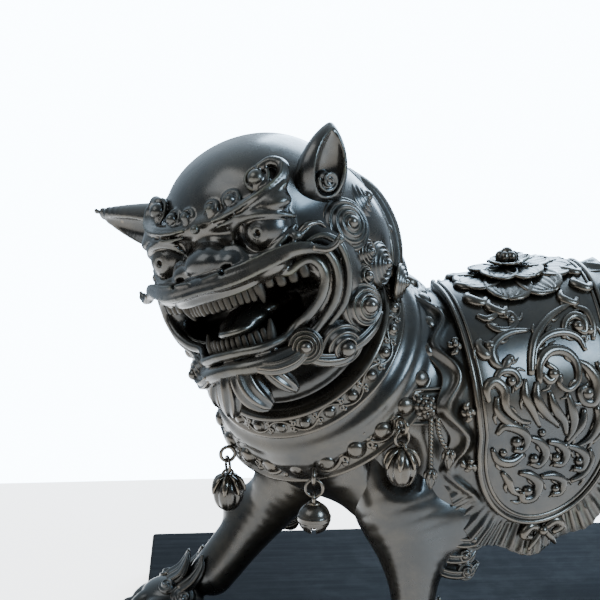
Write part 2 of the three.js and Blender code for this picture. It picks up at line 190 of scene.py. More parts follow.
class Clay:
    """A solid held as a distance field on a grid, built by adding and carving rounded shapes."""

    def __init__(self, low, high, step):
        self.low = np.array(low, float)
        self.step = step
        self.count = np.ceil((np.array(high, float) - self.low) / step).astype(int) + 1
        self.field = np.full(self.count, 20.0, np.float32)

    def window(self, low, high):
        start = np.floor((np.asarray(low) - self.low) / self.step).astype(int)
        stop = np.ceil((np.asarray(high) - self.low) / self.step).astype(int) + 1
        start = np.clip(start, 0, self.count)
        stop = np.clip(stop, 0, self.count)
        if np.any(stop <= start):
            return None, None
        axes = [(self.low[i] + self.step * np.arange(start[i], stop[i])).astype(np.float32) for i in range(3)]
        return tuple(slice(a, b) for a, b in zip(start, stop)), np.meshgrid(*axes, indexing="ij", sparse=True)

    def merge(self, place, distance, blend, carve):
        now = self.field[place]
        if carve:
            self.field[place] = -soft_min(-now, distance, blend)
        else:
            self.field[place] = soft_min(now, distance, blend)

    def ball(self, at, radii, blend=3.0, carve=False, axes=None):
        at = np.asarray(at, float)
        r = np.ones(3) * radii if np.isscalar(radii) else np.asarray(radii, float)
        reach = r.max() + blend + 2 * self.step
        if axes is None:
            reach = r + blend + 2 * self.step
        place, grid = self.window(at - reach, at + reach)
        if place is None:
            return
        q = [g - c for g, c in zip(grid, at)]
        if axes is not None:
            m = np.asarray(axes, float)
            q = [m[i][0] * q[0] + m[i][1] * q[1] + m[i][2] * q[2] for i in range(3)]
        k0 = np.sqrt(sum((v / s) ** 2 for v, s in zip(q, r)))
        k1 = np.sqrt(sum((v / (s * s)) ** 2 for v, s in zip(q, r)))
        self.merge(place, (k0 * (k0 - 1) / np.maximum(k1, 1e-6)).astype(np.float32), blend, carve)

    def strand(self, points, blend=1.5, carve=False, per=5):
        """A rolled strand through rows of x, y, z, radius."""
        path = smooth_path(points, per)
        reach = path[:, 3].max() + blend + 2 * self.step
        place, grid = self.window(path[:, :3].min(0) - reach, path[:, :3].max(0) + reach)
        if place is None:
            return
        shape = np.broadcast_shapes(*[g.shape for g in grid])
        total = np.full(shape, 20.0, np.float32)
        first = [s.start for s in place]
        for a, b in zip(path[:-1], path[1:]):
            pad = max(a[3], b[3]) + blend + 2 * self.step
            sub, g = self.window(np.minimum(a[:3], b[:3]) - pad, np.maximum(a[:3], b[:3]) + pad)
            if sub is None:
                continue
            along = b[:3] - a[:3]
            length = max(along @ along, 1e-9)
            q = [v - c for v, c in zip(g, a[:3])]
            t = np.clip((q[0] * along[0] + q[1] * along[1] + q[2] * along[2]) / length, 0, 1)
            gap = np.sqrt(sum((v - t * w) ** 2 for v, w in zip(q, along))) - (a[3] + (b[3] - a[3]) * t)
            local = tuple(slice(s.start - f, s.stop - f) for s, f in zip(sub, first))
            total[local] = np.minimum(total[local], gap)
        self.merge(place, total, blend, carve)

    def slab(self, axis, level, above):
        """Cuts away everything above (or below) a level on one axis."""
        line = self.low[axis] + self.step * np.arange(self.count[axis])
        gap = (line - level) if above else (level - line)
        shape = [1, 1, 1]
        shape[axis] = -1
        gap = gap.reshape(shape).astype(np.float32)
        self.field = -soft_min(-self.field, -gap, 0.6)

    def mirrored(self):
        """The grid's x >= 0 half and its mirror image; low[0] must be 0."""
        twin = Clay(self.low, self.low, self.step)
        twin.field = np.concatenate([self.field[:0:-1], self.field])
        twin.low = self.low - np.array([(self.count[0] - 1) * self.step, 0, 0])
        twin.count = np.array(twin.field.shape)
        return twin

    def surface(self):
        """Vertices and quads of the zero level, one vertex in each crossed cell."""
        f = self.field
        f[[0, -1]] = 5
        f[:, [0, -1]] = 5
        f[:, :, [0, -1]] = 5
        inside = f < 0
        n = np.array(f.shape) - 1
        cell = np.zeros(n, np.uint8)
        for i in range(2):
            for j in range(2):
                for k in range(2):
                    cell += inside[i:i + n[0], j:j + n[1], k:k + n[2]]
        mixed = (cell > 0) & (cell < 8)
        at = np.argwhere(mixed)
        number = np.full(n, -1, np.int64)
        number[mixed] = np.arange(len(at))
        total = np.zeros((len(at), 3))
        hits = np.zeros(len(at))
        corner = [np.array(c) for c in np.ndindex(2, 2, 2)]
        for a in corner:
            for axis in range(3):
                if a[axis]:
                    continue
                b = a.copy()
                b[axis] = 1
                fa = f[tuple((at + a).T)]
                fb = f[tuple((at + b).T)]
                cross = (fa < 0) != (fb < 0)
                t = np.where(cross, fa / np.where(cross, fa - fb, 1), 0)
                total += np.where(cross[:, None], a + np.outer(t, b - a), 0)
                hits += cross
        vertices = self.low + self.step * (at + total / hits[:, None])
        quads = []
        for axis in range(3):
            u, v = [(1, 2), (2, 0), (0, 1)][axis]
            lower = [slice(None)] * 3
            upper = [slice(None)] * 3
            lower[axis] = slice(0, -1)
            upper[axis] = slice(1, None)
            change = inside[tuple(lower)] != inside[tuple(upper)]
            edge = np.argwhere(change)
            keep = ((edge[:, u] > 0) & (edge[:, v] > 0)
                    & (edge[:, u] < f.shape[u] - 1) & (edge[:, v] < f.shape[v] - 1))
            edge = edge[keep]
            outward = inside[tuple(edge.T)]
            du = np.eye(3, dtype=int)[u]
            dv = np.eye(3, dtype=int)[v]
            ring = [number[tuple((edge - du - dv).T)], number[tuple((edge - dv).T)],
                    number[tuple(edge.T)], number[tuple((edge - du).T)]]
            ring = np.array(ring).T
            ring[~outward] = ring[~outward][:, ::-1]
            quads.append(ring)
        return vertices, np.vstack(quads)


# ---------------------------------------------------------------- meshes

def new_object(name, vertices, faces, recalc=False):
    """A smooth shaded mesh object from millimetres."""
    mesh = bpy.data.meshes.new(name)
    mesh.from_pydata((np.asarray(vertices, float) * MM).tolist(), [], [list(map(int, f)) for f in faces])
    if recalc:
        shape = bmesh.new()
        shape.from_mesh(mesh)
        bmesh.ops.remove_doubles(shape, verts=shape.verts, dist=1e-6)
        bmesh.ops.recalc_face_normals(shape, faces=shape.faces)
        shape.to_mesh(mesh)
        shape.free()
    mesh.polygons.foreach_set("use_smooth", [True] * len(mesh.polygons))
    mesh.update()
    made = bpy.data.objects.new(name, mesh)
    bpy.context.scene.collection.objects.link(made)
    return made


class Parts:
    """Collects closed shapes that make up one piece."""

    def __init__(self):
        self.vertices = []
        self.faces = []
        self.count = 0

    def add(self, vertices, faces):
        self.vertices.append(np.asarray(vertices, float))
        self.faces += [tuple(i + self.count for i in f) for f in faces]
        self.count += len(vertices)

    def made(self, name):
        return new_object(name, np.vstack(self.vertices), self.faces, recalc=True)


def lofted(rings):
    """A closed solid through rings of equal length, with a fan at each end."""
    rings = np.asarray(rings, float)
    rows, around = rings.shape[:2]
    vertices = np.vstack([rings.reshape(-1, 3), rings[0].mean(0), rings[-1].mean(0)])
    faces = []
    for i in range(rows - 1):
        for j in range(around):
            k = (j + 1) % around
            faces.append((i * around + j, i * around + k, (i + 1) * around + k, (i + 1) * around + j))
    last = (rows - 1) * around
    for j in range(around):
        k = (j + 1) % around
        faces.append((rows * around, k, j))
        faces.append((rows * around + 1, last + j, last + k))
    return vertices, faces


def swept(points, around=12, per=5, ridges=0, depth=0.12, flat=1.0, up=None, closed=False):
    """A strand through rows of x, y, z, radius, with optional ridges along it."""
    path = smooth_path(points, per) if per else np.asarray(points, float)
    centre = path[:, :3]
    _, first, second = path_frames(centre, up)
    angle = 2 * np.pi * np.arange(around) / around
    rings = []
    for i, (c, r) in enumerate(zip(centre, path[:, 3])):
        swell = 1 + depth * np.cos(ridges * angle) if ridges else np.ones(around)
        rings.append(c + np.outer(r * swell * np.cos(angle), first[i])
                     + np.outer(r * flat * swell * np.sin(angle), second[i]))
    rings = np.array(rings)
    if not closed:
        return lofted(rings)
    rows = len(rings) - 1
    faces = []
    for i in range(rows):
        for j in range(around):
            k = (j + 1) % around
            m = (i + 1) % rows
            faces.append((i * around + j, i * around + k, m * around + k, m * around + j))
    return rings[:rows].reshape(-1, 3), faces


def globe(at, radii, around=16, down=10):
    r = np.ones(3) * radii if np.isscalar(radii) else np.asarray(radii, float)
    rings = []
    for i in range(1, down):
        polar = math.pi * i / down
        angle = 2 * np.pi * np.arange(around) / around
        ring = np.stack([np.cos(angle) * math.sin(polar), np.sin(angle) * math.sin(polar),
                         np.full(around, -math.cos(polar))], 1)
        rings.append(ring * r + np.asarray(at, float))
    vertices, faces = lofted(rings)
    vertices[-2] = np.asarray(at) - (0, 0, r[2])
    vertices[-1] = np.asarray(at) + (0, 0, r[2])
    return vertices, faces


def turned(profile, at, axis, around=48, flutes=0, depth=0.0):
    """A solid of revolution from rows of radius, height; the first and last radius are zero."""
    n = unit(axis)
    a = unit(np.cross(n, (0.3, 1, 0.2)))
    b = np.cross(n, a)
    rings = []
    angle = 2 * np.pi * np.arange(around) / around
    for r, h in profile[1:-1]:
        swell = r * (1 + depth * np.abs(np.cos(flutes * angle / 2)) - depth if flutes else np.ones(around))
        rings.append(np.asarray(at) + h * n
                     + np.outer(swell * np.cos(angle), a) + np.outer(swell * np.sin(angle), b))
    vertices, faces = lofted(rings)
    vertices[-2] = np.asarray(at) + profile[0][1] * n
    vertices[-1] = np.asarray(at) + profile[-1][1] * n
    return vertices, faces


def whorl(at, normal, start, radius, height, turns=3.0, groove=0.5, around=72, rows=30, hand=1):
    """A domed lock of hair wound into a spiral, with grooves between its turns."""
    n = unit(normal)
    a = unit(np.asarray(start, float) - n * (np.asarray(start, float) @ n))
    b = np.cross(n, a) * hand
    rings = []
    angle = 2 * np.pi * np.arange(around) / around
    levels = [(1.02, -0.8)] + [(1 - i / rows, None) for i in range(rows)]
    for rho, fixed in levels:
        if fixed is None:
            phase = turns * rho * 2 * np.pi + angle
            dome = height * (1 - rho ** 2.2)
            ripple = groove * np.cos(phase) * min(1, rho * 4) * min(1, (1 - rho) * 8 + 0.3)
            h = dome + ripple
        else:
            h = np.full(around, -height * 0.6)
        r = radius * rho
        rings.append(np.asarray(at) + np.outer(r * np.cos(angle), a)
                                      + np.outer(r * np.sin(angle), b) + np.outer(h, n))
    vertices, faces = lofted(rings)
    vertices[-2] = np.asarray(at) - n * height * 0.6
    vertices[-1] = np.asarray(at) + n * height * 1.02
    return vertices, faces


# ---------------------------------------------------------------- geometry nodes

def socket_id(tree, name):
    for item in tree.interface.items_tree:
        if item.item_type == "SOCKET" and item.in_out == "INPUT" and item.name == name:
            return item.identifier
    raise KeyError(name)


COPIES_SEED = 7


def copies_along_path():
    """Node tree: copies of one shape set along a path, as one real mesh."""
    tree = bpy.data.node_groups.new("copies_along_path", "GeometryNodeTree")
    face = tree.interface
    face.new_socket("Path", in_out="INPUT", socket_type="NodeSocketGeometry")
    face.new_socket("Shape", in_out="INPUT", socket_type="NodeSocketObject")
    face.new_socket("Count", in_out="INPUT", socket_type="NodeSocketInt")
    face.new_socket("Size", in_out="INPUT", socket_type="NodeSocketFloat")
    face.new_socket("Variation", in_out="INPUT", socket_type="NodeSocketFloat")
    face.new_socket("Material", in_out="INPUT", socket_type="NodeSocketMaterial")
    face.new_socket("Mesh", in_out="OUTPUT", socket_type="NodeSocketGeometry")
    node = tree.nodes.new
    link = tree.links.new
    given = node("NodeGroupInput")
    result = node("NodeGroupOutput")
    to_curve = node("GeometryNodeMeshToCurve")
    resample = node("GeometryNodeResampleCurve")
    shape = node("GeometryNodeObjectInfo")
    spread = node("FunctionNodeRandomValue")
    tangent = node("GeometryNodeInputTangent")
    normal = node("GeometryNodeInputNamedAttribute")
    normal.data_type = "FLOAT_VECTOR"
    normal.inputs["Name"].default_value = "facing"
    align = node("FunctionNodeAxesToRotation")
    align.primary_axis = "Z"
    align.secondary_axis = "X"
    place = node("GeometryNodeInstanceOnPoints")
    realize = node("GeometryNodeRealizeInstances")
    paint = node("GeometryNodeSetMaterial")
    scale = node("ShaderNodeMath")
    scale.operation = "MULTIPLY"
    lower = node("ShaderNodeMath")
    lower.operation = "SUBTRACT"
    lower.inputs[0].default_value = 1.0
    link(given.outputs["Path"], to_curve.inputs["Mesh"])
    link(to_curve.outputs["Curve"], resample.inputs["Curve"])
    link(given.outputs["Count"], resample.inputs["Count"])
    link(given.outputs["Shape"], shape.inputs["Object"])
    link(given.outputs["Variation"], lower.inputs[1])
    link(lower.outputs[0], spread.inputs[2])
    spread.inputs[3].default_value = 1.0
    spread.inputs["Seed"].default_value = COPIES_SEED
    link(spread.outputs[1], scale.inputs[0])
    link(given.outputs["Size"], scale.inputs[1])
    link(normal.outputs["Attribute"], align.inputs["Primary Axis"])
    link(tangent.outputs["Tangent"], align.inputs["Secondary Axis"])
    link(resample.outputs["Curve"], place.inputs["Points"])
    link(shape.outputs["Geometry"], place.inputs["Instance"])
    link(align.outputs["Rotation"], place.inputs["Rotation"])
    link(scale.outputs[0], place.inputs["Scale"])
    link(place.outputs["Instances"], realize.inputs["Geometry"])
    link(realize.outputs["Geometry"], paint.inputs["Geometry"])
    link(given.outputs["Material"], paint.inputs["Material"])
    link(paint.outputs["Geometry"], result.inputs["Mesh"])
    return tree


def row_of_copies(name, points, facing, shape, count, material, variation=0.0, closed=False):
    """A mesh piece of copies of a shape (Parts, millimetres, +Z out) along a path."""
    tree = bpy.data.node_groups.get("copies_along_path") or copies_along_path()
    pattern = shape.made(name + "_pattern")
    points = np.asarray(points, float) * MM
    path = bpy.data.meshes.new(name)
    edges = [(i, i + 1) for i in range(len(points) - 1)]
    if closed:
        edges.append((len(points) - 1, 0))
    path.from_pydata(points.tolist(), edges, [])
    attribute = path.attributes.new("facing", "FLOAT_VECTOR", "POINT")
    attribute.data.foreach_set("vector", np.asarray(facing, float).ravel())
    carrier = bpy.data.objects.new(name + "_path", path)
    bpy.context.scene.collection.objects.link(carrier)
    modifier = carrier.modifiers.new("copies", "NODES")
    modifier.node_group = tree
    modifier[socket_id(tree, "Shape")] = pattern
    modifier[socket_id(tree, "Count")] = count
    modifier[socket_id(tree, "Size")] = 1.0
    modifier[socket_id(tree, "Variation")] = variation
    modifier[socket_id(tree, "Material")] = material
    graph = bpy.context.evaluated_depsgraph_get()
    mesh = bpy.data.meshes.new_from_object(carrier.evaluated_get(graph))
    bpy.data.objects.remove(carrier)
    bpy.data.objects.remove(pattern)
    if not mesh.polygons:
        raise RuntimeError(name + " has no faces")
    mesh.polygons.foreach_set("use_smooth", [True] * len(mesh.polygons))
    made = bpy.data.objects.new(name, mesh)
    bpy.context.scene.collection.objects.link(made)
    return made


# ---------------------------------------------------------------- materials

def shader_group(name, inputs, outputs):
    tree = bpy.data.node_groups.new(name, "ShaderNodeTree")
    for label, kind, value in inputs:
        socket = tree.interface.new_socket(label, in_out="INPUT", socket_type=kind)
        socket.default_value = value
    for label, kind in outputs:
        tree.interface.new_socket(label, in_out="OUTPUT", socket_type=kind)
    return tree, tree.nodes.new("NodeGroupInput"), tree.nodes.new("NodeGroupOutput")


def ramp(tree, source, low, high, value_low=0.0, value_high=1.0):
    node = tree.nodes.new("ShaderNodeMapRange")
    node.interpolation_type = "SMOOTHSTEP"
    node.inputs["From Min"].default_value = low
    node.inputs["From Max"].default_value = high
    node.inputs["To Min"].default_value = value_low
    node.inputs["To Max"].default_value = value_high
    tree.links.new(source, node.inputs["Value"])
    return node.outputs["Result"]


def noise(tree, vector, scale, detail=4.0, rough=0.6, distortion=0.0):
    node = tree.nodes.new("ShaderNodeTexNoise")
    node.inputs["Scale"].default_value = scale
    node.inputs["Detail"].default_value = detail
    node.inputs["Roughness"].default_value = rough
    node.inputs["Distortion"].default_value = distortion
    tree.links.new(vector, node.inputs["Vector"])
    return node.outputs["Fac"]


def math_node(tree, operation, a, b):
    node = tree.nodes.new("ShaderNodeMath")
    node.operation = operation
    node.use_clamp = operation in ("ADD", "MULTIPLY")
    for i, value in enumerate((a, b)):
        if hasattr(value, "links"):
            tree.links.new(value, node.inputs[i])
        else:
            node.inputs[i].default_value = value
    return node.outputs[0]


def mix_colour(tree, factor, a, b):
    node = tree.nodes.new("ShaderNodeMix")
    node.data_type = "RGBA"
    for socket, value in ((node.inputs[0], factor), (node.inputs[6], a), (node.inputs[7], b)):
        if hasattr(value, "links"):
            tree.links.new(value, socket)
        else:
            socket.default_value = value
    return node.outputs[2]


def patina_group():
    """Patinated bronze: cloudy brown over dark, verdigris dust in hollows, metal bared on edges."""
    tree, given, result = shader_group(
        "bronze_patina",
        [("Dark", "NodeSocketColor", (0.05, 0.04, 0.03, 1)),
         ("Warm", "NodeSocketColor", (0.2, 0.14, 0.08, 1)),
         ("Bare", "NodeSocketColor", (0.6, 0.42, 0.2, 1)), ("Wear", "NodeSocketFloat", 0.5),
         ("Roughness", "NodeSocketFloat", 0.35)],
        [("Colour", "NodeSocketColor"), ("Roughness", "NodeSocketFloat"), ("Height", "NodeSocketFloat")],
    )
    where = tree.nodes.new("ShaderNodeTexCoord").outputs["Object"]
    point = tree.nodes.new("ShaderNodeNewGeometry").outputs["Pointiness"]
    cloud = noise(tree, where, 26, 6, 0.65, 0.4)
    speck = noise(tree, where, 420, 5, 0.7)
    smear = noise(tree, where, 95, 5, 0.7, 0.6)
    hollow = ramp(tree, point, 0.495, 0.44)
    edge = math_node(tree, "ADD", point, math_node(tree, "MULTIPLY", math_node(tree, "SUBTRACT", smear, 0.5),
                                                   0.05))
    bare = math_node(tree, "MULTIPLY", ramp(tree, edge, 0.515, 0.60), given.outputs["Wear"])
    colour = mix_colour(tree, ramp(tree, cloud, 0.36, 0.66), given.outputs["Dark"], given.outputs["Warm"])
    colour = mix_colour(tree, bare, colour, given.outputs["Bare"])
    dust = math_node(tree, "MULTIPLY", hollow, ramp(tree, smear, 0.35, 0.65, 0.55, 1.0))
    colour = mix_colour(tree, dust, colour, (0.022, 0.021, 0.015, 1))
    green = math_node(tree, "MULTIPLY", dust, ramp(tree, cloud, 0.5, 0.64, 0.0, 0.35))
    colour = mix_colour(tree, green, colour, (0.10, 0.095, 0.045, 1))
    tree.links.new(colour, result.inputs["Colour"])
    rough = math_node(tree, "ADD", given.outputs["Roughness"], ramp(tree, smear, 0.3, 0.75, -0.05, 0.12))
    rough = math_node(tree, "ADD", rough, math_node(tree, "MULTIPLY", dust, 0.3))
    tree.links.new(rough, result.inputs["Roughness"])
    height = math_node(tree, "ADD", math_node(tree, "MULTIPLY", speck, 0.35),
                       math_node(tree, "MULTIPLY", smear, 0.65))
    tree.links.new(height, result.inputs["Height"])
    return tree


# Strength of the bronze's surface grain, and its depth in metres.
BRONZE_BUMP = 0.12
BRONZE_GRAIN = 0.0006


def principled(name, metallic):
    material = bpy.data.materials.new(name)
    material.use_nodes = True
    shader = material.node_tree.nodes["Principled BSDF"]
    shader.inputs["Metallic"].default_value = metallic
    return material, material.node_tree, shader


def bronze(name, dark, warm, bare, wear, rough, coat=0.5):
    """Patinated bronze from its dark, warm and bare colours, the wear on its edges and its roughness."""
    material = bpy.data.materials.get(name)
    if material:
        return material
    material, tree, shader = principled(name, 0.85)
    group = tree.nodes.new("ShaderNodeGroup")
    group.node_tree = bpy.data.node_groups.get("bronze_patina") or patina_group()
    group.inputs["Dark"].default_value = (*dark, 1)
    group.inputs["Warm"].default_value = (*warm, 1)
    group.inputs["Bare"].default_value = (*bare, 1)
    group.inputs["Wear"].default_value = wear
    group.inputs["Roughness"].default_value = rough
    relief = tree.nodes.new("ShaderNodeBump")
    relief.inputs["Strength"].default_value = BRONZE_BUMP
    relief.inputs["Distance"].default_value = BRONZE_GRAIN
    shader.inputs["Coat Weight"].default_value = coat
    shader.inputs["Coat Roughness"].default_value = 0.22
    shader.inputs["Coat IOR"].default_value = 1.45
    tree.links.new(group.outputs["Colour"], shader.inputs["Base Color"])
    tree.links.new(group.outputs["Roughness"], shader.inputs["Roughness"])
    tree.links.new(group.outputs["Height"], relief.inputs["Height"])
    tree.links.new(relief.outputs["Normal"], shader.inputs["Normal"])
    return material


def bronze_body():
    return bronze("bronze_body", (0.012, 0.0115, 0.010), (0.030, 0.025, 0.018), (0.11, 0.085, 0.055), 0.35,
                  0.30)


def bronze_face():
    return bronze("bronze_face", (0.014, 0.0135, 0.012), (0.034, 0.029, 0.022), (0.13, 0.10, 0.066), 0.35,
                  0.26)


# Darker copy of the face bronze with no coat, for the teeth and fangs: the darker colours are painted shade
# that keeps them as dark as the face against the light from the floor.
def bronze_teeth_shaded():
    return bronze("bronze_teeth_shaded", (0.010, 0.0095, 0.008), (0.020, 0.017, 0.013), (0.05, 0.04, 0.027), 0.25,
                  0.5, coat=0.0)


def bronze_cloth():
    return bronze("bronze_cloth", (0.010, 0.0092, 0.0075), (0.028, 0.022, 0.0145), (0.10, 0.075, 0.047), 0.2,
                  0.32)


def bronze_relief():
    return bronze("bronze_relief", (0.014, 0.0125, 0.0095), (0.038, 0.030, 0.020), (0.11, 0.082, 0.052), 0.22,
                  0.26)


def bronze_brassy():
    return bronze("bell_bronze", (0.020, 0.017, 0.013), (0.050, 0.040, 0.027), (0.19, 0.14, 0.085), 0.35,
                  0.22)


def lacquer():
    """Black lacquered wood: faint grain, fine dust, edges rubbed to brown."""
    material = bpy.data.materials.get("plinth_lacquer")
    if material:
        return material
    material, tree, shader = principled("plinth_lacquer", 0.0)
    where = tree.nodes.new("ShaderNodeTexCoord").outputs["Object"]
    stretch = tree.nodes.new("ShaderNodeMapping")
    stretch.inputs["Scale"].default_value = (3, 60, 60)
    tree.links.new(where, stretch.inputs["Vector"])
    grain = noise(tree, stretch.outputs["Vector"], 4, 6, 0.6, 0.5)
    dust = noise(tree, where, 60, 6, 0.7, 0.3)
    point = tree.nodes.new("ShaderNodeNewGeometry").outputs["Pointiness"]
    colour = mix_colour(tree, ramp(tree, grain, 0.35, 0.7), (0.006, 0.006, 0.007, 1),
                        (0.013, 0.0135, 0.0145, 1))
    colour = mix_colour(tree, ramp(tree, dust, 0.5, 0.8, 0.0, 0.5), colour, (0.026, 0.027, 0.030, 1))
    colour = mix_colour(tree, ramp(tree, point, 0.53, 0.62, 0.0, 0.6), colour, (0.045, 0.034, 0.026, 1))
    tree.links.new(colour, shader.inputs["Base Color"])
    tree.links.new(ramp(tree, dust, 0.3, 0.75, 0.60, 0.75), shader.inputs["Roughness"])
    relief = tree.nodes.new("ShaderNodeBump")
    relief.inputs["Strength"].default_value = 0.15
    relief.inputs["Distance"].default_value = 0.0004
    shader.inputs["Specular IOR Level"].default_value = 0.03
    tree.links.new(grain, relief.inputs["Height"])
    tree.links.new(relief.outputs["Normal"], shader.inputs["Normal"])
    return material


def steel():
    """Zinc-plated steel with fine turning marks."""
    material = bpy.data.materials.get("zinc_finish")
    if material:
        return material
    material, tree, shader = principled("zinc_finish", 1.0)
    where = tree.nodes.new("ShaderNodeTexCoord").outputs["Object"]
    marks = noise(tree, where, 900, 3, 0.6)
    blotch = noise(tree, where, 120, 4, 0.6)
    tree.links.new(mix_colour(tree, blotch, (0.42, 0.43, 0.45, 1), (0.62, 0.62, 0.60, 1)),
                   shader.inputs["Base Color"])
    tree.links.new(ramp(tree, marks, 0.3, 0.7, 0.28, 0.45), shader.inputs["Roughness"])
    return material


def finish_piece(piece, material, body, slot, *nodes):
    """Gives a piece its material, its body and the CAD nodes that it stands for."""
    piece.data.materials.clear()
    piece.data.materials.append(material)
    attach(piece, body)
    if nodes:
        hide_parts(*nodes)
    return piece


def scene_settings(context):
    return context.scene.lion_settings


# ---------------------------------------------------------------- head

BROW_ROLLS = [
    [(0, 41, 24, 2.6), (10, 41, 23.5, 3.0), (18, 41, 24.5, 3.4), (26, 38.5, 26, 3.6), (33, 33, 28, 3.5),
     (37, 27.5, 31.5, 3.2),
     (37, 24, 36.5, 2.8), (33, 25, 40, 2.3), (29, 28.5, 39.5, 1.7)],
]
BROW_LINES = [
    [(8, 45, 24.5, 0.8), (18, 45.4, 25.5, 1.0), (26, 43.2, 27.5, 1.0), (33.5, 37.4, 30, 1.0),
     (38.5, 30, 33.5, 0.9),
     (39, 25.5, 38, 0.7)],
    [(10, 44.8, 21.5, 0.7), (18, 45.8, 22.3, 0.9), (26.5, 43.4, 24, 0.9), (34, 37.8, 26, 0.9),
     (40, 30, 29.5, 0.8)],
    [(14, 44.6, 19.2, 0.6), (21, 45.4, 23.6, 0.7)],
]
BROW_CURLS = [((28, 31, 35.5), 3.4, (0.35, 0.75, 0.55)), ((16.5, 38, 30.5), 2.5, (0.2, 0.8, 0.55)),
              ((7, 40.5, 29.5), 2.1, (0.1, 0.85, 0.5))]
LID_ROLLS = [
    [(14, 42, 15, 1.0), (17, 43.6, 19, 1.5), (22.5, 44.2, 21.6, 1.8), (29.5, 42.4, 21.4, 1.8),
     (36.5, 37, 18.4, 1.5), (40, 32, 15.5, 0.9)],
    [(13, 42, 13.5, 0.8), (16, 43.6, 8.6, 1.2), (21, 45, 5.8, 1.6), (28, 44.2, 5.2, 1.6),
     (34.5, 39.8, 7.6, 1.4), (39.5, 33, 12, 0.9)],
    [(17, 46, 3.0, 0.8), (24, 46, 1.2, 1.0), (32, 42.8, 2.0, 1.1), (39, 36.5, 6.0, 1.0), (44, 29, 9.5, 0.8)],
]
NOSE_ROLLS = [
    [(8, 52.5, 1.2, 0.9), (12, 53, 0.2, 1.4), (16.6, 50.5, 1.6, 1.8), (19, 46.5, 5.6, 1.9),
     (17, 45.6, 10.6, 1.5), (12.5, 47.6, 12.4, 0.9)],
]
MOUTH_ROLLS = [
    [(-2, 55.4, 0.4, 4.6), (12, 54.6, 0, 4.6), (22, 50.5, 0.6, 4.2), (31, 45, 2, 3.6), (39, 40, 2.6, 3.0),
     (45, 36, 1, 2.3), (50, 33.2, -1.5, 1.7), (54.5, 30, 0, 1.1)],
    [(4, 58.6, 3.4, 0.6), (13, 57.4, 4, 0.8), (23, 52.8, 4.4, 0.9), (32, 46.8, 5.4, 0.9), (40, 41, 5.4, 0.8),
     (46, 36.5, 3.4, 0.6)],
    [(-2, 60, -1.4, 0.8), (12, 59, -1.8, 1.0), (22, 54.6, -1.4, 1.0), (31, 48.6, 0, 0.9),
     (38, 43.4, 0.6, 0.7)],
    [(-2, 56.4, -5.0, 2.0), (8, 55.4, -5.2, 2.0), (16, 52.4, -5.2, 1.9), (21.5, 48, -4.6, 1.7),
     (25, 45.4, -2.2, 1.5),
     (28.5, 42, -4.2, 1.6), (33, 39, -5.4, 1.8), (37.5, 36, -3.6, 1.9), (41.5, 33.4, -3.6, 2.1),
     (44, 31.6, -8, 2.2),
     (43.6, 31.8, -13.5, 2.3), (40, 33.8, -20, 2.3), (33, 36.4, -25.5, 2.3), (26, 38, -28.5, 2.2),
     (22, 43, -31.4, 2.0),
     (15.5, 51, -31.8, 2.2), (6, 54.8, -30.8, 2.2), (-2, 55.2, -30.8, 2.2)],
    [(36, 36.5, 0.5, 1.0), (43.5, 31.5, 0.5, 1.6), (47.4, 28, -4.5, 1.9), (47.6, 27.4, -14, 2.0),
     (43.4, 29.4, -23.5, 2.0),
     (35, 32.4, -30.5, 2.0), (27.5, 39, -35.4, 2.0), (20, 47, -37, 1.6)],
    [(41, 31.5, 4.0, 1.0), (46, 26.6, 4.2, 1.5), (50, 23, -1, 1.8), (50.6, 22, -9, 1.8),
     (48.6, 22.6, -18, 1.8),
     (44, 24.6, -26.5, 1.7), (36, 28, -33, 1.4)],
]
CHIN_ROLLS = [
    [(-2, 57, -37, 3.2), (7, 56.4, -37.6, 3.4), (15, 52.5, -38.4, 3.4), (22, 46, -38.6, 3.4),
     (27, 41, -38, 3.0)],
]
BALL_CURLS = [(28, 32, 35.5, 3.8), (16.5, 39, 30.5, 2.7), (7, 41.5, 29.5, 2.3), (39, 34.5, 7.5, 2.6),
              (0, 47, 23.5, 2.2),
              (55.5, 29.5, 0.5, 2.0)]


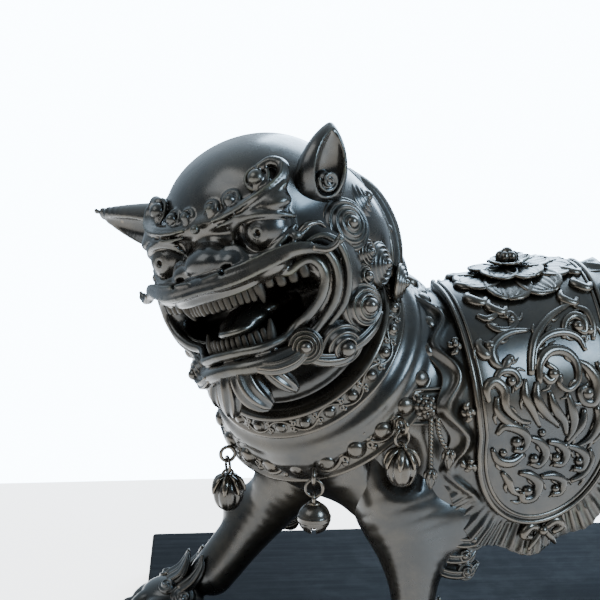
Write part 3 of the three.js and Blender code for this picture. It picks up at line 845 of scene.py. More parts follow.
def head_clay(step):
    half = Clay((0, -70, -62), (66, 70, 68), step)
    for at, radii, blend in (
        ((0, -2, 10), (45, 43, 45), 0.5), ((0, 14, 29), (31, 22, 20), 12), ((0, -20, -4), (47, 31, 42), 9),
        ((0, 32, 0), (27, 22, 14), 7), ((30, 15, -12), (19.5, 20, 26), 7), ((0, 26, -36), (25, 26, 8), 6),
        ((0, 38, 11), (9, 8, 9), 5), ((0, 46, 8.6), (11, 10, 7.6), 3.5),
        ((12.5, 45.5, 5.8), (6.8, 7.4, 6.0), 3.5),
        ((26.5, 33.5, 13.5), (11, 10.8, 10.5), 2), ((20, 42, -1), (15, 9, 6), 4),
        ((30, 33, 23), (11, 8, 5), 3),
    ):
        half.ball(at, radii, blend)
    half.ball((18, 24, -19), (20, 19, 9.5), 2, carve=True)
    half.ball((0, 40, -18), (35, 27, 11.5), 2.5, carve=True)
    half.ball((29, 36, -14), (12, 10, 8.5), 3.5, carve=True)
    for rolls, blend in ((BROW_ROLLS, 5.0), (BROW_LINES, 1.0), (LID_ROLLS, 0.9), (NOSE_ROLLS, 1.4),
                         (MOUTH_ROLLS, 1.2),
                         (CHIN_ROLLS, 2.4)):
        for roll in rolls:
            half.strand(roll, blend)
    for x, y, z, r in BALL_CURLS:
        half.ball((x, y, z), r, 0.6)
    for at, size, out in BROW_CURLS:
        turn = spiral(np.asarray(at, float) - np.asarray(unit(out)) * 0.6, out, (0.3, 0, -1), size * 1.75,
                      1.1, 0.8, 26, size * 1.3)
        half.strand(np.column_stack([turn, np.linspace(0.7, 1.25, 26)]), 0.7, per=1)
    half.ball((13, 53.5, 3.8), (2.6, 4.4, 2.2), 1.0, carve=True)
    look = unit((0.10, 1, 0.06))
    eye = np.array([26.5, 33.5, 13.5])
    pupil = eye + 10.7 * look
    for radius, wire in ((4.4, 0.5), (2.4, 0.45)):
        ring = spiral(eye + math.sqrt(10.6 ** 2 - radius ** 2) * look, look, (1, 0, 0), radius, 1, 0, 24,
                      radius)
        half.strand(np.column_stack([ring, np.full(24, wire)]), 0.6, per=1)
    half.ball(pupil, (1.3, 3.0, 1.3), 0.4, carve=True)
    return half.mirrored()


def head_piece(step):
    vertices, faces = head_clay(step).surface()
    return new_object("head_sculpt", from_head(vertices), faces[:, ::-1])


def ear_clay(base, middle, tip, facing, wide, bulb, step):
    """A hollow leaf shaped ear with a rolled rim, and a ball with a spiral at the foot of the hollow."""
    base, middle, tip, bulb = (np.asarray(v, float) for v in (base, middle, tip, bulb))
    out = unit(facing)
    side = unit(np.cross(out, tip - base))
    out = unit(np.cross(tip - base, side))
    clay = Clay(np.minimum(base, tip) - 26, np.maximum(base, tip) + 26, step)
    axes = np.array([side, out, np.cross(side, out)])
    for f in np.linspace(0, 0.97, 16):
        at = base * (1 - f) ** 2 + middle * 2 * f * (1 - f) + tip * f * f
        r = wide * (1.25 * (1 - f) * (0.8 + f) + 0.05)
        clay.ball(at, (r, r * 0.62, max(r * 0.5, 1.2)), 3, axes=axes)
    line = []
    for f, r in ((0.14, 0.5), (0.3, 0.66), (0.48, 0.62), (0.64, 0.46), (0.78, 0.28), (0.92, 0.08)):
        at = base * (1 - f) ** 2 + middle * 2 * f * (1 - f) + tip * f * f
        line.append((*(at + out * wide * (0.60 - 0.22 * f)), wide * r))
    clay.strand(line, 1.2, carve=True)
    clay.ball(bulb, wide * 0.42, 0.8)
    turn = spiral(bulb + out * wide * 0.30, out, side, wide * 0.44, 1.7, wide * 0.16, 40, wide * 0.1)
    clay.strand(np.column_stack([turn, np.linspace(0.9, 0.6, 40)]), 0.4, per=1)
    return clay


def ear_piece(name, step):
    ear = EARS[name]
    vertices, faces = ear_clay(*ear, step).surface()
    return new_object(name + "_sculpt", from_head(vertices), faces[:, ::-1])


# Base, middle and tip of each ear, the way its hollow faces, its half width and the ball in the hollow.
EARS = {
    "ear_left": ((-39, 8, 21), (-50, 8, 35), (-51, -1, 46.5), (-1, 0.30, 0.1), 11.0, (-46, 10.5, 25)),
    "ear_right": ((40, 4, 23), (60, 4, 28), (87, 6, 45.5), (0.25, 1, -0.45), 13.0, (46, 9, 21)),
}


def tooth(width, height, depth):
    """A single tooth standing on the origin along +Z, rounded at its edge."""
    parts = Parts()
    rings = []
    for z, w in ((-1.2, 0.86), (0.0, 1.0), (0.45, 1.02), (0.75, 0.94), (0.93, 0.72), (1.0, 0.42)):
        angle = 2 * np.pi * np.arange(12) / 12
        square = (np.abs(np.cos(angle)) ** 4 + np.abs(np.sin(angle)) ** 4) ** -0.25
        rings.append(np.stack([square * np.cos(angle) * width * w / 2, square * np.sin(angle) * depth * w / 2,
                               np.full(12, z * height)], 1))
    parts.add(*lofted(rings))
    return parts


# Name, line of the gum, count, width, height, depth, whether they hang, and whether the line
# runs to both sides.
TEETH = (
    ("upper_teeth", [(0, 50.5, -5), (8, 49.5, -5), (16.5, 46, -5)], 13, 3.5, 8.0, 3.2, True, True),
    ("lower_teeth", [(0, 48.5, -31.5), (8, 47.5, -31.5), (14, 44.5, -31.5)], 11, 2.7, 7.0, 3.0, False, True),
    ("molars_left", [(-23.5, 42, -4), (-30, 39, -5.5), (-37.5, 35, -5)], 4, 4.0, 5.6, 4.4, True, False),
    ("molars_right", [(23.5, 42, -4), (30, 39, -5.5), (37.5, 35, -5)], 4, 4.0, 5.6, 4.4, True, False),
)


def teeth_piece(name, line, count, width, height, depth, hanging, material, both=True):
    rows = [(-x, y, z) for x, y, z in line[::-1]] + list(line[1:]) if both else line
    path = spaced(smooth_path(rows, 6), 60)
    facing = np.tile(HEAD_UP * (-1 if hanging else 1), (60, 1))
    return row_of_copies(name, from_head(path), facing, tooth(depth, height, width), count, material,
                         variation=0.08)


def fangs_piece():
    parts = Parts()
    for side in (-1, 1):
        for points in ([(19.8, 45.5, -5, 2.4), (20, 45.4, -8.5, 2.2), (19.7, 44.6, -11.5, 1.6),
                        (19, 43.8, -14.5, 0.6)],
                       [(16, 43.5, -31, 2.4), (16.8, 43, -27, 2.1), (17.2, 42.4, -24.5, 1.4),
                        (17.2, 41.6, -22, 0.6)]):
            line = to_side(side, points)
            path = smooth_path(line, 4)
            path[:, :3] = from_head(path[:, :3])
            parts.add(*swept(path, 12, 0))
    return parts.made("fangs")


def tongue_piece(step):
    clay = Clay((0, -5, -40), (22, 62, -6), step)
    for y, z, w, h in ((8, -21, 12, 5), (18, -20, 14, 5), (28, -19.5, 14, 4.6), (37, -21, 12, 4.2),
                       (43, -23, 9, 3.6)):
        clay.ball((0, y, z), (w, 8, h), 3)
    clay.strand([(0, 6, -15.4, 1.3), (0, 20, -14.4, 1.4), (0, 34, -15.4, 1.2), (0, 46, -19.5, 0.8)], 1.6,
                carve=True)
    vertices, faces = clay.mirrored().surface()
    return new_object("tongue_sculpt", from_head(vertices), faces[:, ::-1])


def lock(parts, points, ridges=5, around=20, depth=0.16, flat=0.75):
    """A striated lock of hair, given in head axes."""
    path = smooth_path(points, 5)
    path[:, :3] = from_head(path[:, :3])
    parts.add(*swept(path, around, 0, ridges, depth, flat))


def head_whorl(parts, at, out, start, radius, height, turns=3.2, groove=0.55, hand=1):
    parts.add(*whorl(from_head(at), np.asarray(out, float) @ HEAD_AXES, np.asarray(start, float) @ HEAD_AXES,
                     radius, height, turns, groove, hand=hand))


MANE_DISCS = [
    ((46.5, 6, 3.5), (1, 0.25, 0.15), 12.5, 8), ((46.5, -10, -19), (1, -0.1, -0.2), 10, 7),
    ((42, -28, -32), (0.8, -0.35, -0.4), 9, 6),
    ((41, -20, 10), (0.9, -0.45, 0.2), 12, 8), ((36, -34, -8), (0.8, -0.6, 0), 14, 9),
    ((24, -46, 6), (0.45, -0.9, 0.15), 13, 8),
    ((0, -52, -12), (0, -1, 0), 14, 8), ((20, -50, -20), (0.35, -0.9, -0.1), 14, 9),
    ((31, -34, 18), (0.6, -0.75, 0.35), 11, 7),
    ((0, -46, 18), (0, -1, 0.4), 12, 7), ((48, 0, -11), (1, 0, -0.1), 6.5, 5),
    ((12, -50, -40), (0.2, -0.9, -0.4), 12, 8),
    ((32, -44, -30), (0.6, -0.75, -0.3), 12, 8),
]
MANE_LOCKS = [
    [(26, -36, 22, 7), (31, -40, 9, 10), (33, -41, -5, 11), (34, -38, -18, 10), (34, -33, -30, 7)],
    [(14, -44, 26, 8), (19, -47, 12, 10), (22, -48, -4, 11), (24, -46, -19, 10), (26, -41, -32, 7)],
    [(6, -50, -38, 7.0), (8, -54, -46, 6.0), (5, -57, -53, 4.2), (0, -58, -59, 1.6)],
]
BEARD_LOCKS = [
    [(4, 52, -36, 4.8), (4.6, 54.4, -42, 6.6), (6, 54.8, -48, 6.8), (8.6, 53.6, -53.5, 5.4),
     (10.5, 52, -57, 2.4)],
    [(13, 50, -39, 4.2), (16.5, 49, -44.5, 5.4), (19, 47, -49.5, 4.8), (20.5, 44.6, -54, 2.0)],
]
JAW_LOCKS = [
    [(12, 54, -38.5, 3.8), (18, 50.5, -41, 4.8), (24, 45.5, -41, 4.8), (29, 40.5, -38.5, 3.6)],
    [(26, 38, -42, 3.6), (30, 32, -46, 4.6), (35, 25, -48, 4.2), (40, 18, -46, 2.0)],
    [(36, 25, -45, 4.2), (41, 19, -44, 4.4), (45, 12, -41, 3.6), (47.5, 5, -37, 1.5)],
]
JAW_WHORLS = [((28.5, 40, -37.5), (0.6, 0.8, 0.0), 7.0, 5.0),
              ((35.5, 24, -43), (0.75, 0.55, -0.4), 10.0, 6.5),
              ((45, 14, -31), (0.95, 0.35, -0.1), 10.0, 6.5), ((46, 8, -20), (1, 0.1, 0), 6, 4.5)]
FACE_FLAMES = [
    [(46, 36, 1, 2.0), (51, 33.4, -1.5, 1.8), (54.5, 31, -0.5, 1.4), (56.5, 29, 3, 0.8)],
    [(38, 34, 7, 1.6), (42, 30, 10, 2.0), (45, 25, 9.5, 1.6), (46, 22, 6.5, 0.8)],
]


def mane_piece():
    parts = Parts()
    for side in (-1, 1):
        for at, out, radius, height in MANE_DISCS:
            if at[0] == 0 and side < 0:
                continue
            out = unit((side * out[0], out[1], out[2]))
            at = np.array([side * at[0], at[1], at[2]])
            head_whorl(parts, at, out, (0, 1, 0.3), radius, height * 0.5, 4.6, 0.6, hand=side)
            parts.add(*globe(from_head(at + out * height * 0.44), radius * 0.24, 18, 12))
        for points in MANE_LOCKS:
            lock(parts, to_side(side, points), 7, 28)
    return parts.made("mane")


def beard_piece():
    parts = Parts()
    for side in (-1, 1):
        for points in BEARD_LOCKS + JAW_LOCKS:
            lock(parts, to_side(side, points), 8, 40, 0.12)
        for at, out, radius, height in JAW_WHORLS:
            out = unit((side * out[0], out[1], out[2]))
            at = np.array([side * at[0], at[1], at[2]])
            head_whorl(parts, at, out, (0, 0, 1), radius * 1.12, height, 4.6, 0.7, side)
            parts.add(*globe(from_head(at + out * height * 0.9), radius * 0.36, 18, 12))
        for points in FACE_FLAMES:
            lock(parts, to_side(side, points), 0, 14, flat=0.8)
    return parts.made("beard")


# ---------------------------------------------------------------- torso, legs and tail

def torso_row(t):
    """The torso's station at t along it, blended between its neighbours."""
    last = len(TORSO_STATIONS) - 1
    row = np.clip(np.asarray(t, float) * last, 0, last - 0.001)
    i = row.astype(int)
    f = (row - i)[..., None]
    return catmull_rom(*[TORSO_STATIONS[np.clip(i + k, 0, last)] for k in (-1, 0, 1, 2)], f)


def torso_point(t, turn, lift=0.0):
    """A point on the torso: t along it, turn in radians from the spine toward the left flank."""
    s = torso_row(t)
    return np.stack([s[..., 0], s[..., 1] - (s[..., 3] + lift) * np.sin(turn),
                     s[..., 2] + (s[..., 4] + lift) * np.cos(turn)], -1)


def neck_axes():
    across = unit(np.cross(NECK_AXIS, (0, 0, 1)))
    return np.array([across, np.cross(NECK_AXIS, across), NECK_AXIS])


# Room for the left bell to swing in against the shoulder: centre, radii and blend.
BELL_ROOM = ((-38.8, -95, 130.5), (12, 11.6, 13), 5)


def torso_piece(step):
    clay = Clay((-135, -118, 84), (144, 62, 232), step)
    for t in np.linspace(0.04, 0.97, 56):
        row = t * 11
        i = int(row)
        s = TORSO_STATIONS[i] + (TORSO_STATIONS[min(i + 1, 11)] - TORSO_STATIONS[i]) * (row - i)
        clay.ball(s[:3], (22, max(s[3] - 0.9, 4), max(s[4] - 0.9, 4)), 5)
    axes = neck_axes()
    for r, h in ((46, -22), (53, -10), (56, 2), (53.5, 8), (48, 14), (41, 20), (36, 28)):
        clay.ball(NECK_AT + NECK_AXIS * h, (r, r, 9), 5, axes=axes)
    for at, radii, blend in (
        ((-40, -71, 124), (25, 15, 32), 14), ((-58, -24, 120), (22, 20, 26), 12),
        ((-72, -62, 132), (22, 22, 20), 12),
        ((112, -34, 140), (24, 18, 32), 12), ((112, 24, 140), (24, 18, 32), 12),
        ((-6, -34, 108), (30, 26, 14), 12),
        ((-10, -69, 110), (24, 17, 24), 14),
    ):
        clay.ball(at, radii, blend)
    clay.ball(*BELL_ROOM, carve=True)
    clay.strand([(-46, -86, 112, 1.4), (-30, -87, 106, 2.2), (-16, -82, 107, 1.4)], 4, carve=True)
    clay.strand([(-62, -80, 148, 1.2), (-52, -86, 132, 2.0), (-50, -86, 118, 1.2)], 5, carve=True)
    vertices, faces = clay.surface()
    return new_object("torso_sculpt", vertices, faces[:, ::-1])


LEGS = {
    "front_left": {
        "limb": [(-42, -61, 134, 23.5), (-37, -70, 110, 23), (-31, -76, 89, 18), (-31, -81, 72, 12),
                 (-31, -83, 58, 10), (-29, -84, 44, 11.5)],
        "muscle": [((-34, -80, 96), (12, 8, 16)), ((-16, -77, 98), (18, 12, 19))],
        "paw": (-32, -84), "turn": 0.1, "tuft": (-8, -80, 88),
    },
    "front_right": {
        "limb": [(-60, -20, 128, 21), (-76, -15, 108, 18), (-92, -11, 88, 15), (-108, -10, 68, 12.5),
                 (-124, -11, 48, 11.5)],
        "muscle": [((-88, -18, 100), (14, 8, 16)), ((-108, -6, 82), (10, 8, 10))],
        "paw": (-143, -12), "turn": -0.05, "tuft": (-84, 0, 82),
    },
    "hind_left": {
        "limb": [(110, -28, 142, 26), (99, -40, 120, 23), (92, -48, 101, 19), (106, -49, 84, 15),
                 (123, -49, 70, 12),
                 (116, -51, 52, 11)],
        "muscle": [((98, -52, 112), (18, 10, 22)), ((118, -48, 84), (7, 8, 12))],
        "paw": (104, -52), "turn": 0.05, "tuft": (132, -49, 74),
    },
    "hind_right": {
        "limb": [(112, 18, 142, 26), (108, 32, 120, 23), (108, 38, 101, 19), (124, 38, 84, 15),
                 (141, 38, 70, 12),
                 (137, 40, 52, 11)],
        "muscle": [((112, 42, 112), (18, 10, 22)), ((136, 38, 84), (7, 8, 12))],
        "paw": (128, 40), "turn": 0.0, "tuft": (148, 38, 76),
    },
}


def leg_piece(name, step):
    leg = LEGS[name]
    limb = np.array(leg["limb"], float)
    px, py = leg["paw"]
    cos, sin = math.cos(leg["turn"]), math.sin(leg["turn"])

    def paw(x, y, z):
        return (px + x * cos - y * sin, py + x * sin + y * cos, z)

    low = np.minimum(limb[:, :3].min(0) - 30, (px - 34, py - 22, 20))
    high = np.maximum(limb[:, :3].max(0) + 26, (px + 20, py + 22, 30))
    low[2] = 20
    clay = Clay(low, high, step)
    clay.strand(limb, 2)
    for at, radii in leg["muscle"]:
        clay.ball(at, radii, 6)
    clay.ball(*BELL_ROOM, carve=True)
    clay.ball(paw(-3, 0, 37), (15, 13.5, 10), 5)
    clay.ball(paw(4, 0, 31), (11, 12, 8), 4)
    for y, x, z in ((-11.4, -9, 33.5), (-4, -13.5, 35), (4, -13.5, 35), (11.4, -9, 33.5)):
        clay.strand([(*paw(x + 9, y * 0.8, z + 4), 4.6), (*paw(x, y, z + 2.4), 4.9),
                     (*paw(x - 6, y * 1.04, z - 2.5), 4.6),
                     (*paw(x - 8.6, y * 1.06, z - 5.6), 3.6)], 0.7)
        clay.strand([(*paw(x - 9.5, y * 1.06, z - 2.6), 2.2), (*paw(x - 13, y * 1.08, z - 4.2), 2.0),
                     (*paw(x - 15, y * 1.08, z - 8.6), 0.9)], 0.4)
        clay.strand([(*paw(x - 9.3, y * 1.06, z + 0.6), 0.5), (*paw(x - 10.6, y * 1.06 + 3.2, z - 3.2), 0.5),
                     (*paw(x - 10, y * 1.06 + 3.8, z - 7), 0.5)], 0.8, carve=True)
    clay.slab(2, PLINTH_TOP + 0.05, False)
    vertices, faces = clay.surface()
    return new_object("leg_" + name + "_sculpt", vertices, faces[:, ::-1])


def row_whorl(parts, at, out, radius, height, turns=2.6, groove=0.5, hand=1, start=(0, 0, 1)):
    parts.add(*whorl(at, out, start, radius, height, turns, groove, 64, 26, hand))


def row_lock(parts, points, ridges=5, around=20, depth=0.16, flat=0.8):
    parts.add(*swept(points, around, 5, ridges, depth, flat))


def leg_tufts_piece(name):
    """Flame shaped tufts and curls at the elbow or hock, and curls over the wrist."""
    leg = LEGS[name]
    parts = Parts()
    x, y, z = leg["tuft"]
    out = -1 if y < 0 else 1
    for dx, dz, size in ((0, 5, 5.6), (-4, -3, 5.0), (-3, -11, 4.2)):
        row_lock(parts, [(x - 15 + dx, y - 1 * out, z + dz + 4, size * 0.9),
                         (x - 4 + dx, y + 2 * out, z + dz - 1, size),
                         (x + 5 + dx, y + 2.5 * out, z + dz - 1, size * 0.85),
                         (x + 10 + dx, y + 2 * out, z + dz + 3, 1.2)], 7, 36)
        row_whorl(parts, (x + 4 + dx, y + 3.5 * out, z + dz - 0.5), (0.25, out, 0.1), size * 1.2, 3.4, 2.6,
                  0.5, out)
        parts.add(*globe((x + 4 + dx, y + (3.5 + 2.8) * out, z + dz - 0.5), size * 0.34, 16, 10))
    px, py = leg["paw"]
    for side in (-1, 1):
        row_whorl(parts, (px + 4, py + side * 11.5, 41), (0.1, side, 0.35), 6.6, 3.6, 2.2, 0.4, side)
        row_whorl(parts, (px - 4, py + side * 8, 45.5), (-0.2, side * 0.5, 0.8), 4.6, 2.8, 1.8, 0.4, -side)
        row_lock(parts, [(px + 3, py + side * 9, 44, 4.2), (px + 9, py + side * 9.5, 49, 3.8),
                         (px + 13, py + side * 8, 55, 2.6), (px + 14, py + side * 6, 61, 0.8)], 6, 30)
        row_lock(parts, [(px - 3, py + side * 4, 46, 3.6), (px + 3, py + side * 4, 50, 3.4),
                         (px + 6, py + side * 3, 56, 2.2), (px + 7, py + side * 2, 61, 0.7)], 5, 24)
    return parts.made("tufts_" + name)


TAIL_LOCKS = [
    [(128, -4, 176, 11), (139, -4, 190, 12), (147, -4, 208, 13), (147, -4, 228, 11), (140, -4, 246, 6),
     (137, -4, 262, 1.4)],
    [(138, -10, 190, 8), (146, -20, 204, 9.5), (150, -27, 222, 7), (143, -30, 238, 3.6),
     (136, -28, 246, 1.0)],
    [(138, 2, 190, 8), (146, 12, 204, 9.5), (150, 19, 222, 7), (143, 22, 238, 3.6), (136, 20, 246, 1.0)],
    [(134, -6, 194, 7), (136, -14, 210, 8), (136, -14, 228, 6), (130, -12, 242, 3), (126, -10, 250, 0.9)],
    [(134, -2, 194, 7), (136, 6, 210, 8), (136, 6, 228, 6), (130, 4, 242, 3), (126, 2, 250, 0.9)],
    [(148, -10, 200, 7), (155, -12, 216, 7), (156, -12, 234, 5), (150, -10, 250, 1.0)],
    [(148, 2, 200, 7), (155, 4, 216, 7), (156, 4, 234, 5), (150, 2, 250, 1.0)],
]


def tail_piece():
    parts = Parts()
    for points in TAIL_LOCKS:
        row_lock(parts, points, 9, 45, 0.13, 0.85)
    for side in (-1, 1):
        row_whorl(parts, (146, -4 + side * 23, 199), (0.1, side, -0.1), 11, 5, 2.8, 0.5, side)
        row_whorl(parts, (133, -4 + side * 14, 186), (-0.6, side, 0.2), 8, 4, 2.2, 0.45, -side)
    return parts.made("tail_plume")


def spine_piece():
    """Low flame shaped locks along the spine behind the saddle cloth."""
    parts = Parts()
    for i, x in enumerate((68, 82, 96, 110)):
        z = float(torso_point((x + 92) / 232 * 0.98, 0.0)[2])
        for side in (-1, 1):
            y = -9 + side * 7
            row_lock(parts, [(x - 8, y, z - 1, 5.5), (x + 2, y + side * 2, z + 1, 5.2),
                             (x + 12, y + side * 5, z - 1, 3.4),
                             (x + 19, y + side * 9, z - 4, 1.0)], 5, 24, flat=0.6)
        row_whorl(parts, (x - 4, -9, z), (0, 0, 1), 7, 3.6, 2.2, 0.45, 1 if i % 2 else -1, start=(1, 0, 0))
    return parts.made("spine_locks")


# ---------------------------------------------------------------- collars

COLLAR_SAMPLES = 240

# Centre, inner and outer radius, width, how far the face leans in, bead radius and tendril wire.
COLLARS = {
    "collar_outer": (NECK_AT, 53.5, 60.8, 15, 8.5, 4.1, 1.1),
    "collar_inner": (INNER_COLLAR_AT, 42.5, 50.3, 10, 5.5, 2.4, 0.65),
}


def band_piece(name, at, inner, outer, width, slope):
    """A collar whose face leans in toward the head, with raised rolled rims."""
    axes = neck_axes()
    half = width / 2
    face = [(-half, -0.9), (-half + 0.3, -0.2), (-half + 0.9, 0.5), (-half + 1.7, 0.3), (-half + 2.2, -0.7),
            (-half + 2.8, -0.9), (0, -0.7), (half - 2.8, -0.9), (half - 2.2, -0.7), (half - 1.7, 0.3),
            (half - 0.9, 0.5),
            (half - 0.3, -0.2), (half, -0.9)]
    section = [(inner, -half)] + [(outer + r - slope * (h + half) / width, h) for h,
                                  r in face] + [(inner - slope, half)]
    vertices = []
    around = 200
    for i in range(around):
        angle = 2 * np.pi * i / around
        radial = axes[0] * math.cos(angle) + axes[1] * math.sin(angle)
        vertices += [np.asarray(at) + radial * r + NECK_AXIS * h for r, h in section]
    n = len(section)
    faces = []
    for i in range(around):
        k = (i + 1) % around
        for j in range(n):
            m = (j + 1) % n
            faces.append((i * n + j, k * n + j, k * n + m, i * n + m))
    return new_object(name, vertices, faces, recalc=True)


def collar_point(at, outer, width, slope, angle, h, lift=0.0):
    """A point on a collar's leaning face, at an angle around it and a height across it."""
    axes = neck_axes()
    angle, h = np.broadcast_arrays(np.asarray(angle, float), np.asarray(h, float))
    radial = np.cos(angle)[..., None] * axes[0] + np.sin(angle)[..., None] * axes[1]
    out = collar_out(slope, width, angle)
    radius = outer - 0.8 - slope * (h + width / 2) / width
    return np.asarray(at) + radial * radius[..., None] + NECK_AXIS * h[..., None] + out * lift


def collar_out(slope, width, angle):
    axes = neck_axes()
    angle = np.asarray(angle, float)
    radial = np.cos(angle)[..., None] * axes[0] + np.sin(angle)[..., None] * axes[1]
    lean = math.hypot(slope, width)
    return radial * (width / lean) + NECK_AXIS * (slope / lean)


def bead(radius, height, rim=True):
    """A round bead on a small collar, standing on the origin along +Z."""
    parts = Parts()
    profile = [(0, -0.6), (radius * 1.25, -0.6), (radius * 1.25, 0.25), (radius * 1.02, 0.3),
               (radius * 0.98, height * 0.4),
               (radius * 0.8, height * 0.75), (radius * 0.45, height * 0.96), (0, height)]
    if not rim:
        profile = [(0, -0.6), (radius, -0.6), (radius, height * 0.3), (radius * 0.8, height * 0.7),
                   (radius * 0.4, height * 0.95),
                   (0, height)]
    parts.add(*turned(profile, (0, 0, 0), (0, 0, 1), 16))
    return parts


def collar_beads(name, at, outer, width, slope, height, count, shape, material, phase=0.0):
    angle = np.linspace(0, 2 * np.pi, 241)[:-1] + phase
    line = collar_point(at, outer, width, slope, angle, np.full(COLLAR_SAMPLES, height))
    return row_of_copies(name, line, collar_out(slope, width, angle), shape, count, material, closed=True)


def collar_scrolls(name, at, outer, width, slope, count, wire):
    """A tendril that winds past the beads in an S-curve, with a curl at each end of each bend."""
    parts = Parts()
    for i in range(count):
        start = 2 * np.pi * i / count
        flip = 1 if i % 2 else -1
        pitch = 2 * np.pi / count
        line = []
        for k in range(17):
            f = k / 16
            line.append((start + (f - 0.5) * pitch, flip * width * 0.27 * math.cos(np.pi * (f - 0.5)) ** 0.7,
                         wire * (0.85 + 0.35 * math.sin(np.pi * f))))
        parts.add(*swept([(*collar_point(at, outer, width, slope, a, h, 0.25), r) for a, h, r in line], 8, 2))
        for end in (-1, 1):
            curl = []
            for k in range(12):
                turn = k * 0.55
                reach = width * 0.13 * (1 - k / 15)
                curl.append((start + (end * 0.42 * pitch) + end * math.sin(turn) * reach / outer,
                             -flip * (width * 0.20 + (math.cos(turn) - 1) * reach), wire * (1.05 - 0.02 * k)))
            parts.add(*swept([(*collar_point(at, outer, width, slope, a, h, 0.2), r) for a, h, r in curl], 8,
                             2))
    return parts.made(name)


# ---------------------------------------------------------------- saddle cloth

# Where the saddle sits along the torso and how far it slants back down the flanks, as parts of the
# torso; the millimetres that one whole torso stands for; and the distance from the spine at which
# the cloth hangs straight down.
SADDLE_AT = 0.464
SADDLE_TRAIL = 0.055
TORSO_LENGTH = 290
SADDLE_BEND = 80


def saddle_point(along, s, lift):
    """A point over the saddle: millimetres along the spine and out from it, and height off the torso."""
    along, s, lift = np.broadcast_arrays(np.asarray(along, float), np.asarray(s, float),
                                         np.asarray(lift, float))
    t = SADDLE_AT + SADDLE_TRAIL * np.minimum(1.5 * np.abs(s) / 126, 1) + along / TORSO_LENGTH
    at = torso_row(t)
    bend = np.minimum(np.abs(s) / SADDLE_BEND, 1) * np.pi / 2
    drop = np.maximum(np.abs(s) - SADDLE_BEND, 0)
    return np.stack([at[..., 0], at[..., 1] - np.sign(s) * (at[..., 3] + lift) * np.sin(bend),
                     at[..., 2] + (at[..., 4] + lift) * np.cos(bend) - drop], -1)


def saddle_out(along, s):
    return unit(saddle_point(along, s, 1.0) - saddle_point(along, s, 0.0))


# Relief panel: reach down each flank, half width, and where its straight sides end.
PANEL_END = 130.0
PANEL_HALF = 33.5
PANEL_STRAIGHT = 88.0


def panel_middle(s):
    return -1 - 0.068 * np.abs(s)


def panel_half(s, grow=0.0):
    """Half width of the panel at a distance from the spine: parallel sides, then a round end."""
    s = np.abs(np.asarray(s, float))
    end = PANEL_END + grow
    f = np.clip((s - PANEL_STRAIGHT) / (end - PANEL_STRAIGHT), 0, 1)
    return (PANEL_HALF + grow + 2.5 * np.clip(1 - s / 60, 0, 1)) * np.sqrt(np.maximum(1 - f ** 2.3, 0))


def saddle_sheet(name, rows, columns, grow, low, high, shape):
    """A closed sheet over the back. shape(u, s, along) gives its extra lift, shift along and sag."""
    end = PANEL_END + grow
    v = np.sin(np.linspace(-1, 1, rows) * np.pi / 2 * 0.985)
    v = 0.35 * v + 0.65 * np.linspace(-0.9995, 0.9995, rows)
    s = v * end
    u = np.linspace(-1, 1, columns)
    u = np.sign(u) * (1 - (1 - np.abs(u)) ** 1.25)
    grid_u, grid_s = np.meshgrid(u, s)
    along = panel_middle(grid_s) + grid_u * panel_half(grid_s, grow)
    lift, shift, sag = shape(grid_u, grid_s, along)
    outer = saddle_point(along + shift, grid_s + np.sign(grid_s) * sag, high + lift)
    inner = saddle_point(along + shift, grid_s + np.sign(grid_s) * sag, low + lift * 0.8)
    return new_object(name, *lofted(np.concatenate([outer, inner[:, ::-1]], 1)), recalc=True)


def cloth_waves(u, s, along):
    """Ruffled hem with a raised winding ribbon, fine creases across it, and pleats below the panel."""
    out = np.abs(u) * panel_half(s, 15) - panel_half(s, 0)
    edge = np.clip((out - 1) / 12, 0, 1)
    below = np.clip((np.abs(s) - PANEL_END - 1) / 10, 0, 1)
    side = np.clip((122 - np.abs(s)) / 14, 0, 1) * np.clip((out - 1) / 3, 0, 1)
    sway = 2 * np.pi * (np.abs(s) - 6) / 29
    ribbon = np.exp(-(((out - 8.5 - 2.4 * np.sin(sway)) / 2.6) ** 2))
    crease = np.cos(2 * np.pi * (np.abs(s) + 1.2 * (out - 8)) / 2.0)
    lift = side * (2.3 * ribbon + 0.26 * crease * ribbon + 1.5 * edge ** 2 * np.sin(sway * 0.5 + 1.0)
                   - 0.8 * (1 - ribbon) * edge)
    shift = np.sign(u) * side * edge * 2.4 * np.sin(sway)
    fringe = np.maximum(below, edge * np.clip((np.abs(s) - 106) / 14, 0, 1))
    angle = np.arctan2(along - panel_middle(s), np.abs(s) - 90)
    lift = lift + fringe * (0.75 * np.cos(angle * 74) + 1.6 * np.cos(angle * 11 + 0.8))
    sag = fringe * 1.5 * np.cos(angle * 11 + 0.8)
    return lift, shift, sag


def panel_field(u, s, _along):
    """Padded field: a little fuller in the middle than along its edge."""
    half = panel_half(s, 0)
    inside = np.minimum(1, (1 - np.abs(u)) * np.maximum(half, 1) / 7)
    return -1.1 * (1 - inside) ** 2, np.zeros_like(u), np.zeros_like(u)


def outline(inset):
    """The panel's outline drawn in by an inset, as along, s pairs on one flank and over to the other."""
    points = []
    for side in (1, -1):
        turned_by = np.linspace(0, 1, 60)[1:] * np.pi / 2
        round_end = PANEL_STRAIGHT + (PANEL_END - inset - PANEL_STRAIGHT) * np.sin(turned_by)
        s = side * np.concatenate([np.linspace(0, PANEL_STRAIGHT, 40), round_end])
        half = panel_half(s, -inset)
        middle = panel_middle(s)
        points += list(zip(middle - half, s)) + list(zip((middle + half)[::-1], s[::-1]))
    line = []
    for p in points:
        if not line or math.dist(p, line[-1]) > 0.6:
            line.append(p)
    return line


